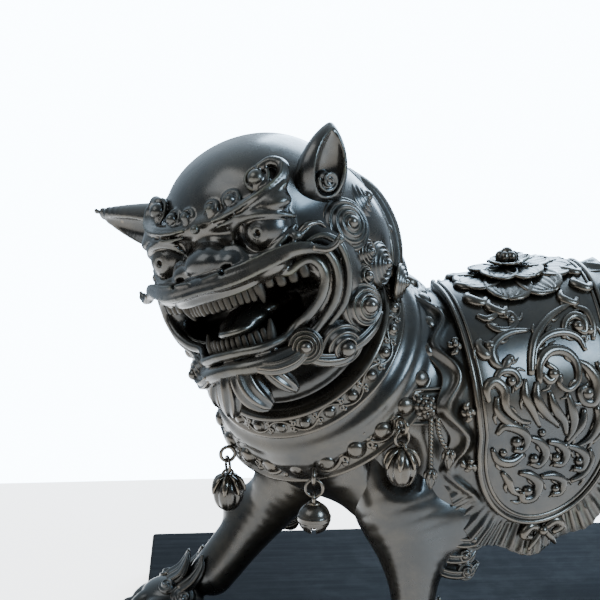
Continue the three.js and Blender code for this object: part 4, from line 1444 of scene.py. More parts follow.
def relief(parts, points, lift=6.4, around=12, per=4):
    """A strand lying on the panel, through rows of along, s, radius."""
    path = smooth_path(points, per)
    centre = saddle_point(path[:, 0], path[:, 1], lift + path[:, 2] * 0.25)
    up = np.array([saddle_out(a, s) for a, s in path[:, :2]])
    parts.add(*swept(np.column_stack([centre, path[:, 2]]), around, 0, 0, 0.16, 0.8, up))


def rim_piece():
    parts = Parts()
    for inset, r in ((0.2, 1.25), (3.0, 0.95)):
        top = [(float(panel_middle(0.0)) + k * float(panel_half(0.0, -inset)), 0.0, r) for k in (-1, 1)]
        for side in (1, -1):
            points = np.array([top[0]] + [(a, s, r) for a, s in outline(inset) if s * side > 0.5] + [top[1]])
            centre = saddle_point(points[:, 0], points[:, 1], 5.9)
            up = np.array([saddle_out(a, s) for a, s in points[:, :2]])
            parts.add(*swept(np.column_stack([centre, points[:, 2]]), 10, 0, up=up))
    return parts.made("panel_rims")


# Scrolls on one flank, as rows of millimetres along the spine, millimetres out from it, and radius.
SCROLLS = [
    [(-31, 44, 1.0), (-33, 47, 1.7), (-31, 51, 2.2), (-28, 50, 1.4)],
    [(-24, 58, 0.8), (-27.5, 55, 1.8), (-28, 50, 2.0), (-24, 45.5, 1.8), (-17, 43, 1.5), (-8, 43.5, 0.8)],
    [(-25, 58, 1.2), (-22, 55, 1.9), (-19.5, 53, 0.9)],
    [(-26, 37, 0.8), (-22, 41, 1.5), (-16, 41.5, 1.3), (-12.5, 38, 1.2), (-14, 34, 1.2), (-17, 35.5, 1.4)],
    [(-29, 32, 1.0), (-25, 35, 1.5), (-20, 33, 1.2), (-17, 29, 0.7)],
    [(-13, 62, 1.3), (-10.5, 54, 1.6), (-6, 46.5, 1.7), (2, 40, 1.6), (11, 36, 1.2), (18, 33.5, 0.7)],
    [(-11, 60, 0.9), (-8, 52, 1.3), (-1, 47.5, 1.6), (7, 47.5, 1.7), (13, 51, 1.4), (15, 57, 0.8)],
    [(6, 50, 0.8), (9, 43.5, 1.5), (14, 41, 1.9), (18, 44, 2.0), (17, 49, 1.3), (13.5, 47, 1.0)],
    [(16, 36, 0.8), (21, 40, 1.5), (22, 47, 1.4), (20, 53, 0.8)],
    [(-10, 66, 1.0), (-8, 58, 1.9), (-2, 54, 2.2), (5, 55.5, 2.0), (9, 61, 1.7), (8, 68, 1.4), (3, 71, 1.2),
     (-1, 68, 1.2),
     (0, 64, 1.4)],
    [(-5, 58.5, 1.0), (-1.5, 62.5, 1.4), (-5, 66, 1.5), (-8, 62.5, 1.1)],
    [(9, 60, 1.0), (14, 64, 2.0), (17, 71, 2.4), (14, 78, 2.2), (9, 77, 1.6), (8, 72.5, 1.4),
     (11.5, 71.5, 1.7)],
    [(-30, 62, 1.0), (-26, 58.5, 1.6), (-20.5, 59.5, 1.6), (-19, 64, 1.4), (-22, 66, 1.3)],
    [(-34, 70, 0.8), (-34, 64.5, 1.7), (-30, 62, 2.0), (-26.5, 66, 2.0), (-27, 73, 1.7), (-22, 79, 1.2),
     (-17, 81, 0.7)],
    [(-30, 68, 0.9), (-31, 74, 1.5), (-26, 80, 1.7), (-20, 84, 1.0)],
    [(-16, 63, 0.8), (-17.5, 70, 1.9), (-15, 77, 1.4), (-13, 84, 0.7)],
    [(-11, 65, 1.0), (-12.5, 72, 2.1), (-9, 79, 1.7), (-4, 86, 0.8)],
    [(-6, 70, 0.9), (-5, 77, 2.0), (-1.5, 84, 1.6), (0, 91, 0.7)],
    [(2, 72, 0.9), (3, 80, 2.1), (3, 88, 1.6), (0, 94, 0.7)],
    [(9, 80, 1.0), (7, 87, 2.0), (3, 92, 1.4), (-1, 96, 0.7)],
    [(15, 80, 1.0), (16, 88, 2.1), (12, 95, 1.6), (5, 98, 0.8)],
    [(19, 62, 0.8), (21, 72, 1.8), (21, 84, 2.0), (18, 93, 1.4), (13, 98, 0.7)],
    [(-33, 84, 0.9), (-29, 80.5, 1.7), (-23, 83, 2.0), (-19, 88, 1.7), (-21, 93, 1.4), (-25, 92, 1.4)],
    [(-35, 90, 0.8), (-32, 96, 1.8), (-26, 98, 2.0), (-20, 95, 1.2)],
    [(-18, 88, 1.0), (-13, 91, 1.8), (-10, 97, 1.9), (-13, 102, 1.5), (-17, 100, 1.3)],
    [(-9, 92, 1.0), (-4, 94, 1.7), (0, 99, 1.9), (-2, 104, 1.6), (-6, 103, 1.3)],
    [(0, 96, 0.9), (6, 99, 1.7), (10, 104, 1.8), (8, 109, 1.5), (4, 108, 1.2)],
    [(-22, 104, 0.9), (-17, 106, 1.9), (-13, 111, 2.1), (-15, 117, 1.8), (-20, 117, 1.5), (-20.5, 113, 1.3)],
    [(-12, 108, 0.9), (-6, 109, 1.8), (-1, 113, 1.8), (-2, 118, 1.3), (-6, 118, 1.1)],
    [(-30, 102, 0.9), (-27, 107, 1.6), (-25, 112, 1.3), (-21, 115, 0.7)],
    [(12, 100, 0.8), (13, 106, 1.6), (9, 112, 1.5), (3, 114, 0.8)],
]
STUDS_ON_PANEL = [(-28, 47.5, 2.6), (-20.5, 54, 2.0), (-14.5, 37.5, 1.8), (14.5, 46, 2.6), (19.5, 48.5, 2.2),
                  (-3, 63.5, 2.6),
                  (11.5, 74, 3.0), (-22.5, 63, 2.2), (-24, 89, 2.4), (-15.5, 98.5, 2.2), (-5, 100.5, 2.2),
                  (6.5, 105, 2.0),
                  (-18, 113.5, 2.4), (-4.5, 115.5, 1.8), (-1, 96, 2.2), (-12, 87, 1.8), (-30, 93, 1.8)]


def scrolls_piece():
    parts = Parts()
    for side in (1, -1):
        for points in SCROLLS:
            relief(parts, [(a, side * s, r * 1.25) for a, s, r in points])
            for k in range(1, len(points) - 1):
                here, step = np.array(points[k]), np.array(points[k + 1]) - np.array(points[k - 1])
                ahead = step[:2] / max(np.hypot(*step[:2]), 1e-6)
                aside = np.array([-ahead[1], ahead[0]]) * (1 if k % 2 else -1)
                leaf = [(here[:2], 0.7 * here[2]), (here[:2] + 2.4 * aside + 1.6 * ahead, 0.95),
                        (here[:2] + 3.0 * aside + 4.6 * ahead, 0.35)]
                relief(parts, [(at[0], side * at[1], r) for at, r in leaf], 6.4, 8, 3)
        for a, s, r in STUDS_ON_PANEL:
            at = saddle_point(a, side * s, 6.4)
            r = r * 1.12
            parts.add(*turned([(0, -1), (r, -1), (r, 0.3), (r * 0.86, r * 0.5), (r * 0.5, r * 0.86), (0, r)],
                              at,
                              saddle_out(a, side * s), 20))
    return parts.made("panel_scrolls")


def petal(parts, middle, turn, start, length, width, lift, cup, veins=7):
    """A cupped petal with veins, lying out from the middle of a flower on the saddle."""
    rows, columns = 14, 19
    top, under = [], []
    for i in range(rows):
        f = i / (rows - 1)
        reach = (f - 0.6) / (0.66 if f < 0.6 else 0.402)
        half = width / 2 * math.sqrt(max(1 - reach * reach, 0.0))
        ring_top, ring_under = [], []
        for j in range(columns):
            w = 2 * j / (columns - 1) - 1
            tip = start + length * f - 0.05 * length * f * math.cos(3 * np.pi * w) * f
            x, y = tip, w * half
            a = middle[0] + x * math.cos(turn) - y * math.sin(turn)
            s = middle[1] + x * math.sin(turn) + y * math.cos(turn)
            h = (lift + cup * (f ** 2.4) + 1.0 * abs(w) ** 2 * math.sin(np.pi * f)
                 + 0.2 * math.cos(w * np.pi * veins) * min(1, 3 * f))
            ring_top.append(saddle_point(a, s, h + 0.55))
            ring_under.append(saddle_point(a, s, h - 1.0 * (1 - f) - 0.35))
        top.append(ring_top)
        under.append(ring_under[::-1])
    rings = np.concatenate([np.array(top), np.array(under)], 1)
    parts.add(*lofted(rings))


def peony_piece():
    parts = Parts()
    middle = (-1.0, 0.0)
    for i in range(8):
        petal(parts, middle, 2 * np.pi * (i + 0.5) / 8, 7, 22, 22, 7.4, 0.6)
    for i in range(6):
        petal(parts, middle, 2 * np.pi * (i + 0.2) / 6, 3, 16, 17, 9.4, 1.2)
    for i in range(5):
        petal(parts, middle, 2 * np.pi * (i + 0.3) / 5, 1.0, 9, 10, 11.2, 2.2, 5)
    core = saddle_point(-1, 0, 10.6)
    for i in range(6):
        angle = 2 * np.pi * i / 6
        at = core + np.array([3.4 * math.cos(angle), 3.4 * math.sin(angle), 3.2])
        parts.add(*globe(at, (2.5, 2.5, 3.0), 14, 10))
    parts.add(*globe(core + np.array([0, 0, 4.6]), (3.2, 3.2, 3.4), 16, 12))
    for side in (1, -1):
        for a, s, r in ((-27, 10, 2.4), (-27, 22, 2.8), (-20, 29, 2.4), (24, 12, 2.6), (24, 24, 2.6),
                        (14, 31, 2.2)):
            relief(parts, [(a, side * (s - 5), 0.9), (a - 2, side * s, r), (a + 3, side * (s + 4), r * 0.9),
                           (a + 6, side * (s + 1), r * 0.5)], 6.4)
    return parts.made("peony")


def knots_piece():
    """Small blossoms on the ruffled hem and a bow in the middle of the fringe."""
    parts = Parts()
    for side in (1, -1):
        for end in (-1, 1):
            for s in (45, 73, 97):
                a = panel_middle(s) + end * (float(panel_half(s)) + 4.5)
                for k, reach in enumerate((2.6, 1.9, 2.4, 1.6)):
                    angle = 2 * np.pi * k / 4 + 0.7 + s
                    relief(parts, [(a, side * s, 0.8), (a + reach * math.cos(angle),
                                                        side * (s + reach * math.sin(angle)), 1.5),
                                   (a + 1.7 * reach * math.cos(angle + 0.5),
                                    side * (s + 1.7 * reach * math.sin(angle + 0.5)), 0.7)],
                           5.6, 10, 4)
                parts.add(*globe(saddle_point(a, side * s, 7.6), 1.5, 12, 8))
        a = float(panel_middle(PANEL_END))
        for k in (-1, 1):
            relief(parts, [(a + k, side * 134, 1.4), (a + k * 6, side * 131.5, 2.4),
                           (a + k * 9, side * 135, 2.2),
                           (a + k * 5, side * 137, 1.4)], 5.6)
            relief(parts, [(a + k, side * 135, 1.4), (a + k * 4, side * 139, 1.6),
                           (a + k * 6.5, side * 143, 0.7)], 5.6)
        parts.add(*globe(saddle_point(a, side * 134.5, 7), 2.4, 14, 10))
    return parts.made("hem_knots")


# ---------------------------------------------------------------- straps, rosettes, tassels

def strap_piece(side):
    name = "left" if side > 0 else "right"
    parts = Parts()
    for edge, r in ((0.15, 0.85), (-0.15, 0.85)):
        line = [(*torso_point(0.3 + 0.042 * f, side * (1.37 + edge), 1.7), r) for f in np.linspace(-1, 1, 14)]
        parts.add(*swept(line, 10, 2))
    rings = []
    for f in np.linspace(-1, 1, 14):
        w = np.linspace(0.13, -0.13, 8)
        outer = [torso_point(0.3 + 0.038 * f, side * (1.37 + k), 1.3) for k in w]
        inner = [torso_point(0.3 + 0.038 * f, side * (1.37 + k), -1.5) for k in w[::-1]]
        rings.append(np.array(outer + inner))
    parts.add(*lofted(rings))
    return parts.made("strap_sculpt_" + name)


def rosette_piece(side):
    name = "left" if side > 0 else "right"
    parts = Parts()
    turn = side * 1.37
    at = torso_point(0.3, turn, 2.0)
    out = np.array([0, -math.sin(turn), math.cos(turn)])
    first = np.array([1.0, 0, 0])
    second = np.cross(out, first)
    for ring, (count, reach, r) in enumerate(((8, 3.9, 1.9), (5, 2.0, 1.6))):
        for i in range(count):
            angle = 2 * np.pi * (i + 0.5 * ring) / count
            p = at + reach * (first * math.cos(angle) + second * math.sin(angle)) + out * ring * 1.3
            parts.add(*globe(p, (r, 1.2, r), 14, 10))
    parts.add(*globe(at + out * 2.8, 1.6, 14, 10))
    return parts.made("rosette_sculpt_" + name)


def tassel_piece(side, long):
    name = ("left" if side > 0 else "right") + ("_long" if long else "_short")
    knot = torso_point(0.3, side * 1.37, 4.6)
    x = knot[0] + (1.6 if long else 4.6)
    start = np.array([x, knot[1] - side * 2.9, knot[2] - 4.5])
    end = np.array([x + (0 if long else 5), start[1] - side * 1.2, start[2] - (24.5 if long else 15.5)])
    sway = np.array([0 if long else -1.6, 0, 0])
    parts = Parts()
    turns = 7 if long else 4.5
    for strand in range(2):
        line = []
        for k in range(61):
            f = k / 60
            angle = 2 * np.pi * turns * f + np.pi * strand
            p = start + (end - start) * f + sway * math.sin(np.pi * f)
            line.append((*(p + np.array([math.cos(angle), math.sin(angle), 0]) * 0.62), 0.72))
        parts.add(*swept(line, 8, 0))
    r = 2.5
    parts.add(*turned([(0, 1.8), (1.9, 1.6), (2.3, 0.6), (1.7, -0.2), (r * 0.92, -1.6), (r * 1.02, -3.4),
                       (r * 0.8, -5.4),
                       (r * 0.4, -7.2), (0, -8.6)], end, (0, 0, 1), 40, 8, 0.16))
    for i in range(6):
        angle = 2 * np.pi * i / 6
        d = np.array([math.cos(angle), math.sin(angle), 0])
        parts.add(*swept([(*(end + d * 1.4 + (0, 0, 0.8)), 0.9), (*(end + d * 2.3 - (0, 0, 0.8)), 1.0),
                          (*(end + d * 2.6 - (0, 0, 3.0)), 0.4)], 8, 4))
    return parts.made("tassel_sculpt_" + name)


# ---------------------------------------------------------------- bells

BELLS = {"right": (-25.0, True), "centre": (24.0, False), "left": (67.0, True)}
EYE, RING, LOOP = (3.4, 0.9), (3.9, 0.7), (2.6, 0.7)
LINK_GAP = 0.3
BELL_RADIUS = 7.4
BELL_WALL = 1.3


def bell_layout(name):
    """Centres of the eye, ring, loop and shell, the outward direction and the tangent."""
    angle = math.radians(BELLS[name][0])
    down = unit(np.array([0, 0, -1.0]) + NECK_AXIS * NECK_AXIS[2])
    radial = down * math.cos(angle) + np.cross(NECK_AXIS, down) * math.sin(angle)
    outward = unit([radial[0], radial[1], 0])
    up = np.array([0, 0, 1.0])
    eye = NECK_AT + radial * 62.4
    ring = eye - up * (EYE[0] - EYE[1] - RING[1] - LINK_GAP + RING[0])
    loop = ring - up * (RING[0] - RING[1] - LOOP[1] - LINK_GAP + LOOP[0])
    shell = loop - up * (LOOP[0] + BELL_RADIUS - 1)
    return eye, ring, loop, shell, outward, np.cross(up, outward)


def hoop(at, across, size, wobble=0.0):
    """A wire hoop in the plane of a horizontal direction and the vertical."""
    major, wire = size
    angle = np.linspace(0, 2 * np.pi, 49)
    line = (np.asarray(at) + np.outer(np.cos(angle) * major, across)
            + np.outer(np.sin(angle) * major, (0, 0, 1)))
    radius = wire * (1 + wobble * np.cos(3 * angle))
    return swept(np.column_stack([line, radius]), 14, 0, up=np.tile(np.cross(across, (0, 0, 1)), (49, 1)),
                 closed=True)


def hoop_piece(name, part):
    eye, ring, loop, _, outward, tangent = bell_layout(name)
    at, across, size = {"eye": (eye, outward, EYE), "ring": (ring, tangent, RING),
                        "loop": (loop, outward, LOOP)}[part]
    parts = Parts()
    parts.add(*hoop(at, across, size, 0.06))
    return parts.made("%s_sculpt_%s" % (part, name))


def cut_away(piece, *cutters):
    """The piece with the cutters' volume taken out, as a plain mesh."""
    for cutter in cutters:
        modifier = piece.modifiers.new("cut", "BOOLEAN")
        modifier.operation = "DIFFERENCE"
        modifier.solver = "EXACT"
        modifier.object = cutter
    graph = bpy.context.evaluated_depsgraph_get()
    mesh = bpy.data.meshes.new_from_object(piece.evaluated_get(graph))
    piece.modifiers.clear()
    piece.data = mesh
    for cutter in cutters:
        bpy.data.objects.remove(cutter)
    return piece


def shell_piece(name):
    """A hollow bell with a slot: a smooth one with an equator line, or a fluted bud whose sepals come with
    the trim.
    """
    _, _, _, at, outward, tangent = bell_layout(name)
    fluted = BELLS[name][1]
    tall = 1.18 if fluted else 1.0
    profile = []
    for i in range(49):
        polar = math.pi * (48 - i) / 48
        r = BELL_RADIUS * math.sin(polar)
        if not fluted:
            r += (0.4 * math.exp(-((polar - 1.47) / 0.05) ** 2)
                  + 0.34 * math.exp(-((polar - 1.67) / 0.05) ** 2))
        profile.append((r, BELL_RADIUS * tall * math.cos(polar)))
    outer = Parts()
    outer.add(*turned(profile, at, (0, 0, 1), 96, 9 if fluted else 0, 0.11))
    hollow = BELL_RADIUS - BELL_WALL
    inner = Parts()
    inner.add(*globe(at, (hollow, hollow, hollow * tall), 32, 20))
    slot = Parts()
    corners = []
    for z in (-20, -2.6):
        corners.append([at + tangent * a * 1.1 + outward * b * 9 + np.array([0, 0, z])
                        for a, b in ((-1, -1), (1, -1), (1, 1), (-1, 1))])
    slot.add(*lofted(corners))
    shell = cut_away(outer.made("shell_sculpt_" + name), inner.made("hollow"), slot.made("slot"))
    shell.data.polygons.foreach_set("use_smooth", [True] * len(shell.data.polygons))
    return shell


def bell_trim_piece(name):
    """Cap under the loop, and on a bud bell the sepals that hold it."""
    _, _, _, at, _, _ = bell_layout(name)
    tall = 1.18 if BELLS[name][1] else 1.0
    top = at + np.array([0, 0, BELL_RADIUS * tall])
    parts = Parts()
    parts.add(*turned([(0, -1.0), (2.9, -1.1), (3.1, -0.5), (2.3, 0.1), (1.7, 0.5), (0, 0.55)], top,
                      (0, 0, 1), 40))
    if BELLS[name][1]:
        for i in range(7):
            angle = 2 * np.pi * i / 7
            d = np.array([math.cos(angle), math.sin(angle), 0])
            parts.add(*swept([(*(top + d * 1.6 + (0, 0, 0.2)), 1.1), (*(at + d * 5.4 + (0, 0, 7.0)), 1.6),
                              (*(at + d * 7.5 + (0, 0, 3.4)), 1.2), (*(at + d * 8.0 + (0, 0, 0.6)), 0.4)], 12,
                              4, 3, 0.14, 0.7))
    return parts.made("trim_sculpt_" + name)


# ---------------------------------------------------------------- plinth

def plinth_piece():
    """Chamfered slab with softly rounded edges and the four counterbored stud holes left open below."""
    low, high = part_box("plinth")
    a, b = np.array(low) / MM, np.array(high) / MM
    shape = bmesh.new()
    bmesh.ops.create_cube(shape, size=1.0)
    bmesh.ops.scale(shape, vec=Vector((b - a) * MM), verts=shape.verts)
    bmesh.ops.translate(shape, vec=Vector((a + b) / 2 * MM), verts=shape.verts)
    bmesh.ops.bevel(shape, geom=list(shape.edges), offset=0.0022, segments=4, profile=0.6, affect="EDGES")
    mesh = bpy.data.meshes.new("plinth_sculpt")
    shape.to_mesh(mesh)
    shape.free()
    made = bpy.data.objects.new("plinth_sculpt", mesh)
    bpy.context.scene.collection.objects.link(made)
    cutters = []
    for leg in LEGS.values():
        x, y = leg["paw"]
        bore = Parts()
        bore.add(*turned([(-5, 0), (-5, 7), (8, 7), (8, 2.8), (30, 2.8), (30, 0)], (x + 1, y, 0), (0, 0, 1),
                         40))
        cutters.append(bore.made("plinth_bore"))
    return cut_away(made, *cutters)


# ---------------------------------------------------------------- stage

def area_light(name, at, aim, size, power, colour):
    lamp = bpy.data.lights.new(name, "AREA")
    lamp.shape = "SQUARE"
    lamp.size = size
    lamp.energy = power
    lamp.color = colour
    made = bpy.data.objects.new(name, lamp)
    made.location = at
    made.rotation_euler = (Vector(aim) - Vector(at)).to_track_quat("-Z", "Y").to_euler()
    bpy.context.scene.collection.objects.link(made)
    return made


def floor_piece():
    mesh = bpy.data.meshes.new("floor")
    mesh.from_pydata([(-30, -30, 0), (30, -30, 0), (30, 0.28, 0), (-30, 0.28, 0)], [], [(0, 1, 2, 3)])
    material, _, shader = principled("floor_paint", 0.0)
    shader.inputs["Base Color"].default_value = (0.90, 0.885, 0.86, 1)
    shader.inputs["Roughness"].default_value = 0.7
    shader.inputs["Emission Color"].default_value = (1.0, 0.965, 0.925, 1)
    shader.inputs["Emission Strength"].default_value = 2.8
    mesh.materials.append(material)
    made = bpy.data.objects.new("floor", mesh)
    bpy.context.scene.collection.objects.link(made)
    return made


def build_world(settings):
    """White surroundings, with a softer and darker room in front of the statue than over and behind it."""
    world = bpy.data.worlds.new("studio")
    world.use_nodes = True
    tree = world.node_tree
    back = tree.nodes["Background"]
    direction = tree.nodes.new("ShaderNodeTexCoord").outputs["Generated"]
    split = tree.nodes.new("ShaderNodeSeparateXYZ")
    tree.links.new(direction, split.inputs[0])
    height = ramp(tree, split.outputs["Z"], -0.3, 0.8, 0.35, 1.0)
    depth = ramp(tree, split.outputs["Y"], -0.7, 0.6, 0.30, 1.0)
    room = math_node(tree, "MULTIPLY", height, depth)
    strength = tree.nodes.new("ShaderNodeMath")
    strength.operation = "MULTIPLY"
    strength.inputs[1].default_value = settings.world_strength
    tree.links.new(room, strength.inputs[0])
    seen = tree.nodes.new("ShaderNodeLightPath").outputs["Is Camera Ray"]
    pick = tree.nodes.new("ShaderNodeMix")
    tree.links.new(seen, pick.inputs[0])
    tree.links.new(strength.outputs[0], pick.inputs[2])
    pick.inputs[3].default_value = settings.backdrop_strength
    tree.links.new(pick.outputs[0], back.inputs["Strength"])
    back.inputs["Color"].default_value = (0.68, 0.84, 1.0, 1)
    bpy.context.scene.world = world


def build_stage(settings):
    build_world(settings)
    lens = bpy.data.cameras.new("camera")
    lens.lens = 78
    lens.sensor_width = 36
    eye = bpy.data.objects.new("camera", lens)
    eye.location = (-0.123, -0.6436, 0.314)
    eye.rotation_euler = (math.radians(79), 0, math.radians(-4))
    bpy.context.scene.collection.objects.link(eye)
    bpy.context.scene.camera = eye
    power = settings.light_power
    floor_piece()
    area_light("window_light", (0.75, -0.75, 0.75), (-0.05, -0.05, 0.16), 0.42, 26 * power,
                   (0.50, 0.73, 1.0))
    area_light("back_light", (0.35, 0.9, 0.75), (-0.05, -0.05, 0.18), 0.8, 24 * power, (0.58, 0.78, 1.0))
    area_light("key_light", (-0.75, -0.45, 0.95), (-0.05, -0.05, 0.16), 0.7, 7 * power,
                   (0.90, 0.95, 1.0))


# ---------------------------------------------------------------- add-on

class LionSettings(bpy.types.PropertyGroup):
    head_detail: FloatProperty(name="Head Detail", description="Grid step of the head sculpt in millimetres",
                               default=0.8, min=0.5, max=3.0)
    body_detail: FloatProperty(name="Body Detail", description="Grid step of the torso sculpt in millimetres",
                               default=1.1, min=0.8, max=4.0)
    limb_detail: FloatProperty(name="Limb Detail", description="Grid step of the leg sculpts in millimetres",
                               default=0.9, min=0.6, max=3.0)
    ear_detail: FloatProperty(name="Ear Detail",
                              description="Grid step of the ear and tongue sculpts in millimetres",
                              default=0.6, min=0.4, max=2.0)
    collar_beads: IntProperty(name="Collar Beads", description="Large beads around each collar", default=24,
                              min=8, max=48)
    incisors: IntProperty(name="Incisors", description="Teeth between the upper fangs", default=13, min=5,
                          max=17)
    world_strength: FloatProperty(name="World Strength", description="Brightness of the white surroundings",
                                  default=1.6, min=0.0, max=5.0)
    backdrop_strength: FloatProperty(name="Backdrop Strength",
                                     description="Brightness of the backdrop behind the statue",
                                     default=16.0, min=0.0, max=40.0)
    light_power: FloatProperty(name="Light Power", description="Multiplies the power of the studio lights",
                               default=1.0, min=0.0, max=5.0)


class Builder:
    """Shared by the operators: runs build() and reports the pieces that were made."""

    bl_options = {"REGISTER", "UNDO"}

    def execute(self, context):
        before = len(bpy.data.objects)
        self.build(scene_settings(context))
        self.report({"INFO"}, "%s: %d new objects" % (self.bl_label, len(bpy.data.objects) - before))
        return {"FINISHED"}


class LION_OT_hardware(Builder, bpy.types.Operator):
    """Finishes the studs, nuts, neck spigot and bell pellets, which keep their own shape"""

    bl_idname = "lion.hardware"
    bl_label = "Finish Studs, Nuts and Pellets"

    def build(self, settings):
        for name, node in frame["nodes"].items():
            plated = name.startswith(("stud_", "nut_"))
            brassy = name.startswith("bell_")
            material = steel() if plated else bronze_brassy() if brassy else bronze_body()
            node.data.materials.clear()
            node.data.materials.append(material)


class LION_OT_plinth(Builder, bpy.types.Operator):
    """Makes the lacquered plinth with its four bored and counterbored stud holes"""

    bl_idname = "lion.plinth"
    bl_label = "Build Plinth"

    def build(self, settings):
        finish_piece(plinth_piece(), lacquer(), "lion", "lacquered_wood", "plinth")


class LION_OT_head(Builder, bpy.types.Operator):
    """Sculpts the head: dome, brows, eyes, nose, moustache, lips and cheek folds"""

    bl_idname = "lion.head"
    bl_label = "Sculpt Head"

    def build(self, settings):
        finish_piece(head_piece(settings.head_detail), bronze_face(), "lion", "bronze_warm", "head")


class LION_OT_ears(Builder, bpy.types.Operator):
    """Sculpts both hollow ears"""

    bl_idname = "lion.ears"
    bl_label = "Sculpt Ears"

    def build(self, settings):
        for name in EARS:
            finish_piece(ear_piece(name, settings.ear_detail), bronze_face(), "lion", "bronze_dark", name)


class LION_OT_mouth(Builder, bpy.types.Operator):
    """Makes the tongue, fangs, incisors and molars"""

    bl_idname = "lion.mouth"
    bl_label = "Build Mouth"

    def build(self, settings):
        finish_piece(tongue_piece(settings.ear_detail), bronze_face(), "lion", "bronze_dark", "tongue")
        finish_piece(fangs_piece(), bronze_teeth_shaded(), "lion", "bronze_warm")
        for name, line, count, width, height, depth, hanging, both in TEETH:
            count = settings.incisors if name == "upper_teeth" else count
            piece = teeth_piece(name, line, count, width, height, depth, hanging, bronze_teeth_shaded(), both)
            finish_piece(piece, bronze_teeth_shaded(), "lion", "bronze_warm")


class LION_OT_mane(Builder, bpy.types.Operator):
    """Makes the spiral locks of the mane and the striated beard"""

    bl_idname = "lion.mane"
    bl_label = "Build Mane and Beard"

    def build(self, settings):
        finish_piece(mane_piece(), bronze_body(), "lion", "bronze_dark")
        finish_piece(beard_piece(), bronze_face(), "lion", "bronze_warm")


class LION_OT_torso(Builder, bpy.types.Operator):
    """Sculpts the torso, neck and shoulders, with the locks along the spine"""

    bl_idname = "lion.torso"
    bl_label = "Sculpt Torso"

    def build(self, settings):
        finish_piece(torso_piece(settings.body_detail), bronze_body(), "lion", "bronze_dark", "torso")
        finish_piece(spine_piece(), bronze_body(), "lion", "bronze_dark")


class LION_OT_legs(Builder, bpy.types.Operator):
    """Sculpts the four legs and clawed paws, with their tufts and curls"""

    bl_idname = "lion.legs"
    bl_label = "Sculpt Legs"

    def build(self, settings):
        for name in LEGS:
            finish_piece(leg_piece(name, settings.limb_detail), bronze_body(), "lion", "bronze_dark",
                         "leg_" + name)
            finish_piece(leg_tufts_piece(name), bronze_body(), "lion", "bronze_dark")


class LION_OT_tail(Builder, bpy.types.Operator):
    """Makes the flame shaped tail plume"""

    bl_idname = "lion.tail"
    bl_label = "Build Tail"

    def build(self, settings):
        finish_piece(tail_piece(), bronze_body(), "lion", "bronze_dark", "tail")


class LION_OT_collars(Builder, bpy.types.Operator):
    """Makes both collars with their beads, seed beads and winding tendrils"""

    bl_idname = "lion.collars"
    bl_label = "Build Collars"

    def build(self, settings):
        count = settings.collar_beads
        for name, (at, inner, outer, width, slope, radius, wire) in COLLARS.items():
            face = (at, outer, width, slope)
            finish_piece(band_piece(name + "_sculpt", at, inner, outer, width, slope), bronze_relief(),
                         "lion",
                         "bronze_warm", name)
            pieces = [collar_scrolls(name + "_tendrils", *face, count, wire),
                      collar_beads(name + "_beads", *face, 0, count, bead(radius, radius * 0.85),
                                   bronze_relief())]
            for label, height in (("upper", 0.24 * width), ("lower", -0.24 * width)):
                seed = bead(radius * 0.42, radius * 0.4, False)
                pieces.append(collar_beads("%s_seeds_%s" % (name, label), *face, height, count, seed,
                                           bronze_relief(),
                                           phase=math.pi / count))
            for piece in pieces:
                finish_piece(piece, bronze_relief(), "lion", "bronze_warm")


class LION_OT_saddle(Builder, bpy.types.Operator):
    """Makes the ruffled saddle cloth and the panel over it with its rims, scrolls, knots and peony"""

    bl_idname = "lion.saddle"
    bl_label = "Build Saddle Cloth"

    def build(self, settings):
        finish_piece(saddle_sheet("cloth_sculpt", 300, 110, 15, -1.5, 3.4, cloth_waves), bronze_cloth(),
                     "lion",
                     "bronze_dark", "saddle_cloth")
        finish_piece(saddle_sheet("panel_sculpt", 150, 60, 0, 2.0, 6.2, panel_field), bronze_cloth(), "lion",
                     "bronze_warm", "saddle_panel")
        finish_piece(peony_piece(), bronze_relief(), "lion", "bronze_warm", "peony_boss")
        for piece in (rim_piece(), scrolls_piece(), knots_piece()):
            finish_piece(piece, bronze_relief(), "lion", "bronze_warm")


class LION_OT_straps(Builder, bpy.types.Operator):
    """Makes the breast straps with their rosettes and twisted tassels"""

    bl_idname = "lion.straps"
    bl_label = "Build Straps and Tassels"

    def build(self, settings):
        for side, name in ((1, "left"), (-1, "right")):
            finish_piece(strap_piece(side), bronze_body(), "lion", "bronze_dark", "strap_" + name)
            finish_piece(rosette_piece(side), bronze_relief(), "lion", "bronze_brassy", "rosette_" + name)
            for long in (True, False):
                node = "tassel_%s_%s" % (name, "long" if long else "short")
                finish_piece(tassel_piece(side, long), bronze_relief(), "lion", "bronze_warm", node)


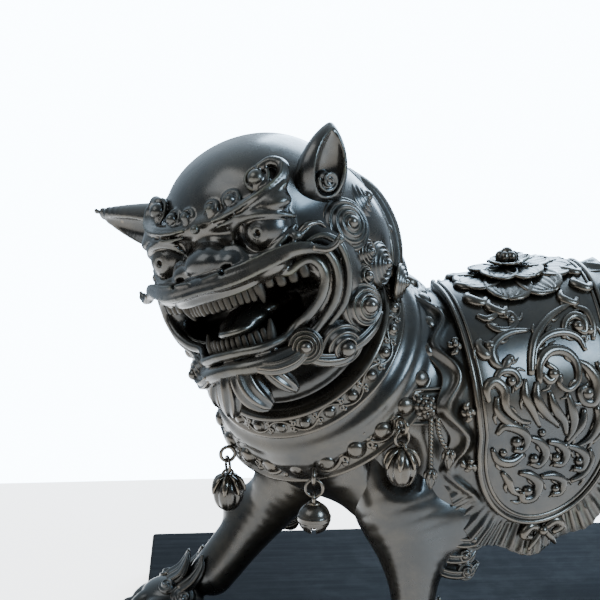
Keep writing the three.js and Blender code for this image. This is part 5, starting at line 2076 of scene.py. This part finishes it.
class LION_OT_bells(Builder, bpy.types.Operator):
    """Makes the three bells with their collar eyes, rings and loops, each on its own moving body"""

    bl_idname = "lion.bells"
    bl_label = "Build Bells"

    def build(self, settings):
        for name in BELLS:
            for part, body in (("eye", "lion"), ("ring", "ring_" + name), ("loop", "bell_" + name)):
                finish_piece(hoop_piece(name, part), bronze_brassy(), body, "bronze_brassy",
                             "bell_%s_%s" % (name, part))
            finish_piece(shell_piece(name), bronze_brassy(), "bell_" + name, "bronze_brassy",
                         "bell_%s_shell" % name)
            finish_piece(bell_trim_piece(name), bronze_brassy(), "bell_" + name, "bronze_brassy")


class LION_OT_stage(Builder, bpy.types.Operator):
    """Adds the pale floor, studio lights and camera"""

    bl_idname = "lion.stage"
    bl_label = "Build Stage"

    def build(self, settings):
        build_stage(settings)


class LION_PT_panel(bpy.types.Panel):
    """Buttons and settings in the sidebar"""

    bl_idname = "LION_PT_panel"
    bl_label = "Guardian Lion"
    bl_space_type = "VIEW_3D"
    bl_region_type = "UI"
    bl_category = "Lion"

    def draw(self, context):
        settings = scene_settings(context)
        for name in LionSettings.__annotations__:
            self.layout.prop(settings, name)
        for operator in OPERATORS:
            self.layout.operator(operator.bl_idname)


OPERATORS = (LION_OT_hardware, LION_OT_plinth, LION_OT_head, LION_OT_ears, LION_OT_mouth, LION_OT_mane,
             LION_OT_torso,
             LION_OT_legs, LION_OT_tail, LION_OT_collars, LION_OT_saddle, LION_OT_straps, LION_OT_bells,
             LION_OT_stage)
CLASSES = (LionSettings, *OPERATORS, LION_PT_panel)


def register():
    for cls in CLASSES:
        bpy.utils.register_class(cls)
    bpy.types.Scene.lion_settings = PointerProperty(type=LionSettings)


def unregister():
    del bpy.types.Scene.lion_settings
    for cls in reversed(CLASSES):
        bpy.utils.unregister_class(cls)


def main():
    register()
    for operator in OPERATORS:
        group, name = operator.bl_idname.split(".")
        result = getattr(getattr(bpy.ops, group), name)()
        if result != {"FINISHED"}:
            raise RuntimeError(operator.bl_idname + " did not finish")


if __name__ == "__main__":
    main()
